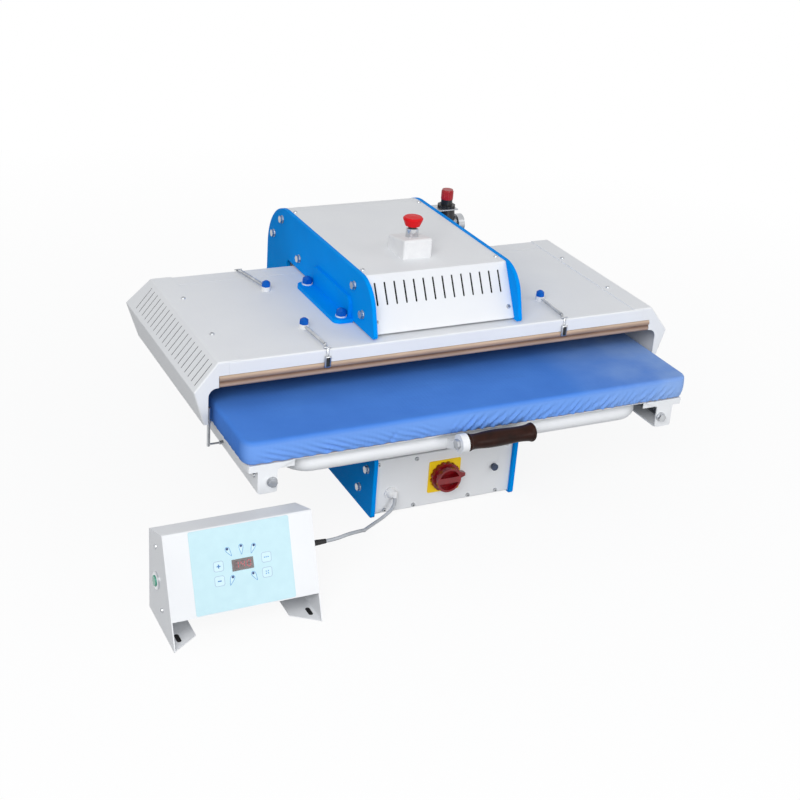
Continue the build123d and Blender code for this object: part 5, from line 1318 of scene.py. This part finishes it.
# %% Rubber in the controller's feet
grommet_places = ((-0.604, -0.527), (-0.604, -0.447), (-0.377, -0.529), (-0.377, -0.447))
grommet_radius = 0.0038
half_slot = 0.007
start_clean()
bpy.ops.mesh.primitive_cylinder_add(
    vertices=24, radius=grommet_radius, depth=0.0022, location=(0, 0, 0.0013))
grommet = bpy.context.object
fix_place()
for vertex in grommet.data.vertices:
    vertex.co.y += math.copysign(half_slot, vertex.co.y)
pick(grommet, "FACE", lambda middle, normal: normal.z > 0.9)
bpy.ops.mesh.inset(thickness=0.0009)
pull_out(0, 0, -0.0008)
leave_edit()
grommets = [copy_piece(grommet, Matrix.Translation((*place, 0))) for place in grommet_places]
bpy.data.objects.remove(grommet)
foot_grommets = join(grommets, "foot_grommets")
settle(foot_grommets, "foot_grommets", finishes["black_rubber"], smooth=40)
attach(foot_grommets, "frame")
print("grommets", len(foot_grommets.data.polygons), "faces")

# %% [markdown]
# ## Studio
# The photograph is a product shot on white paper under a large soft lamp at the front left. A
# broad area lamp there, weak ones at the right and low in front, and a pale world give its
# shade. The floor keeps the object's soft shadow, and glows for the camera only, so that it
# reads as white paper, while the light that it throws back up is that of a grey table, as under
# the real press.

# %% Floor
def seen_directly(tree_owner):
    """1 for what the camera, a reflection or glass sees, 0 for the light thrown on the object."""
    path = add_node(tree_owner, "ShaderNodeLightPath")
    share = path.outputs["Is Camera Ray"]
    for kind in ("Is Glossy Ray", "Is Transmission Ray"):
        share = add_node(tree_owner, "ShaderNodeMath", {
            0: share, 1: path.outputs[kind]}, operation="MAXIMUM").outputs[0]
    return share


floor_width = 24
glow_start = 0.5
glow_end = 2.2
start_clean()
bpy.ops.mesh.primitive_plane_add(size=floor_width, location=(0, 0, 0))
floor = bpy.context.object
floor.name = "studio_floor"
paper = bpy.data.materials.new("white_paper")
paper.use_nodes = True
paper.node_tree.nodes.clear()
floor_place = add_node(paper, "ShaderNodeTexCoord").outputs["Object"]
from_middle = add_node(paper, "ShaderNodeVectorMath", {0: floor_place}, operation="LENGTH")
glow_share = add_node(paper, "ShaderNodeMapRange", {
    "Value": from_middle.outputs["Value"], "From Min": glow_start, "From Max": glow_end, "To Min": 0.90})
white_side = add_node(paper, "ShaderNodeBsdfDiffuse", {"Color": linear("#F4F5F6")})
glow = add_node(paper, "ShaderNodeEmission", {"Color": linear("#FFFFFF"), "Strength": 1.0})
seen_paper = add_node(paper, "ShaderNodeMixShader", {
    0: glow_share.outputs[0], 1: white_side.outputs[0], 2: glow.outputs[0]})
grey_table = add_node(paper, "ShaderNodeBsdfDiffuse", {"Color": linear("#8E9092")})
paper_mix = add_node(paper, "ShaderNodeMixShader", {
    0: seen_directly(paper), 1: grey_table.outputs[0], 2: seen_paper.outputs[0]})
add_node(paper, "ShaderNodeOutputMaterial", {"Surface": paper_mix.outputs[0]})
floor.data.materials.append(paper)
print("floor", floor_width, "m wide")

# %% [markdown]
# ## World and lamps
# A pale world stands for the white walls of the studio, and the camera, reflections and glass see
# it as pure white. The key lamp at the front left gives the soft shadow, and two weak lamps lift
# the right side and the low front. Large lamps suit this, because small ones throw hard edges.

# %% World and lamps
world = bpy.data.worlds.new("studio_world")
world.use_nodes = True
world.node_tree.nodes.clear()
sky_light = add_node(world, "ShaderNodeBackground", {"Color": linear("#F6F7FA"), "Strength": 0.48})
sky_seen = add_node(world, "ShaderNodeBackground", {"Color": linear("#FFFFFF"), "Strength": 1.0})
sky = add_node(world, "ShaderNodeMixShader", {
    0: seen_directly(world), 1: sky_light.outputs[0], 2: sky_seen.outputs[0]})
add_node(world, "ShaderNodeOutputWorld", {"Surface": sky.outputs[0]})
bpy.context.scene.world = world


def add_lamp(name, place, target, width, power):
    """A large soft area lamp at place that shines at target."""
    data = bpy.data.lights.new(name, "AREA")
    data.shape = "RECTANGLE"
    data.size = data.size_y = width
    data.energy = power
    lamp = bpy.data.objects.new(name, data)
    bpy.context.scene.collection.objects.link(lamp)
    lamp.location = place
    lamp.rotation_euler = (Vector(target) - Vector(place)).to_track_quat("-Z", "Y").to_euler()
    return lamp


add_lamp("key_lamp", (-2.2, -2.75, 2.6), (-0.05, -0.15, 0.2), 2.2, 83)
add_lamp("fill_lamp", (2.6, -1.6, 1.9), (0, -0.1, 0.2), 1.8, 14)
add_lamp("low_lamp", (0.5, -2.6, 0.35), (0.1, -0.2, 0.1), 0.9, 16)

# %% [markdown]
# ## Sizes and finish
# The view layer is brought up to date, so that the sizes of all pieces are current.

# %% Sizes brought up to date
bpy.context.view_layer.update()
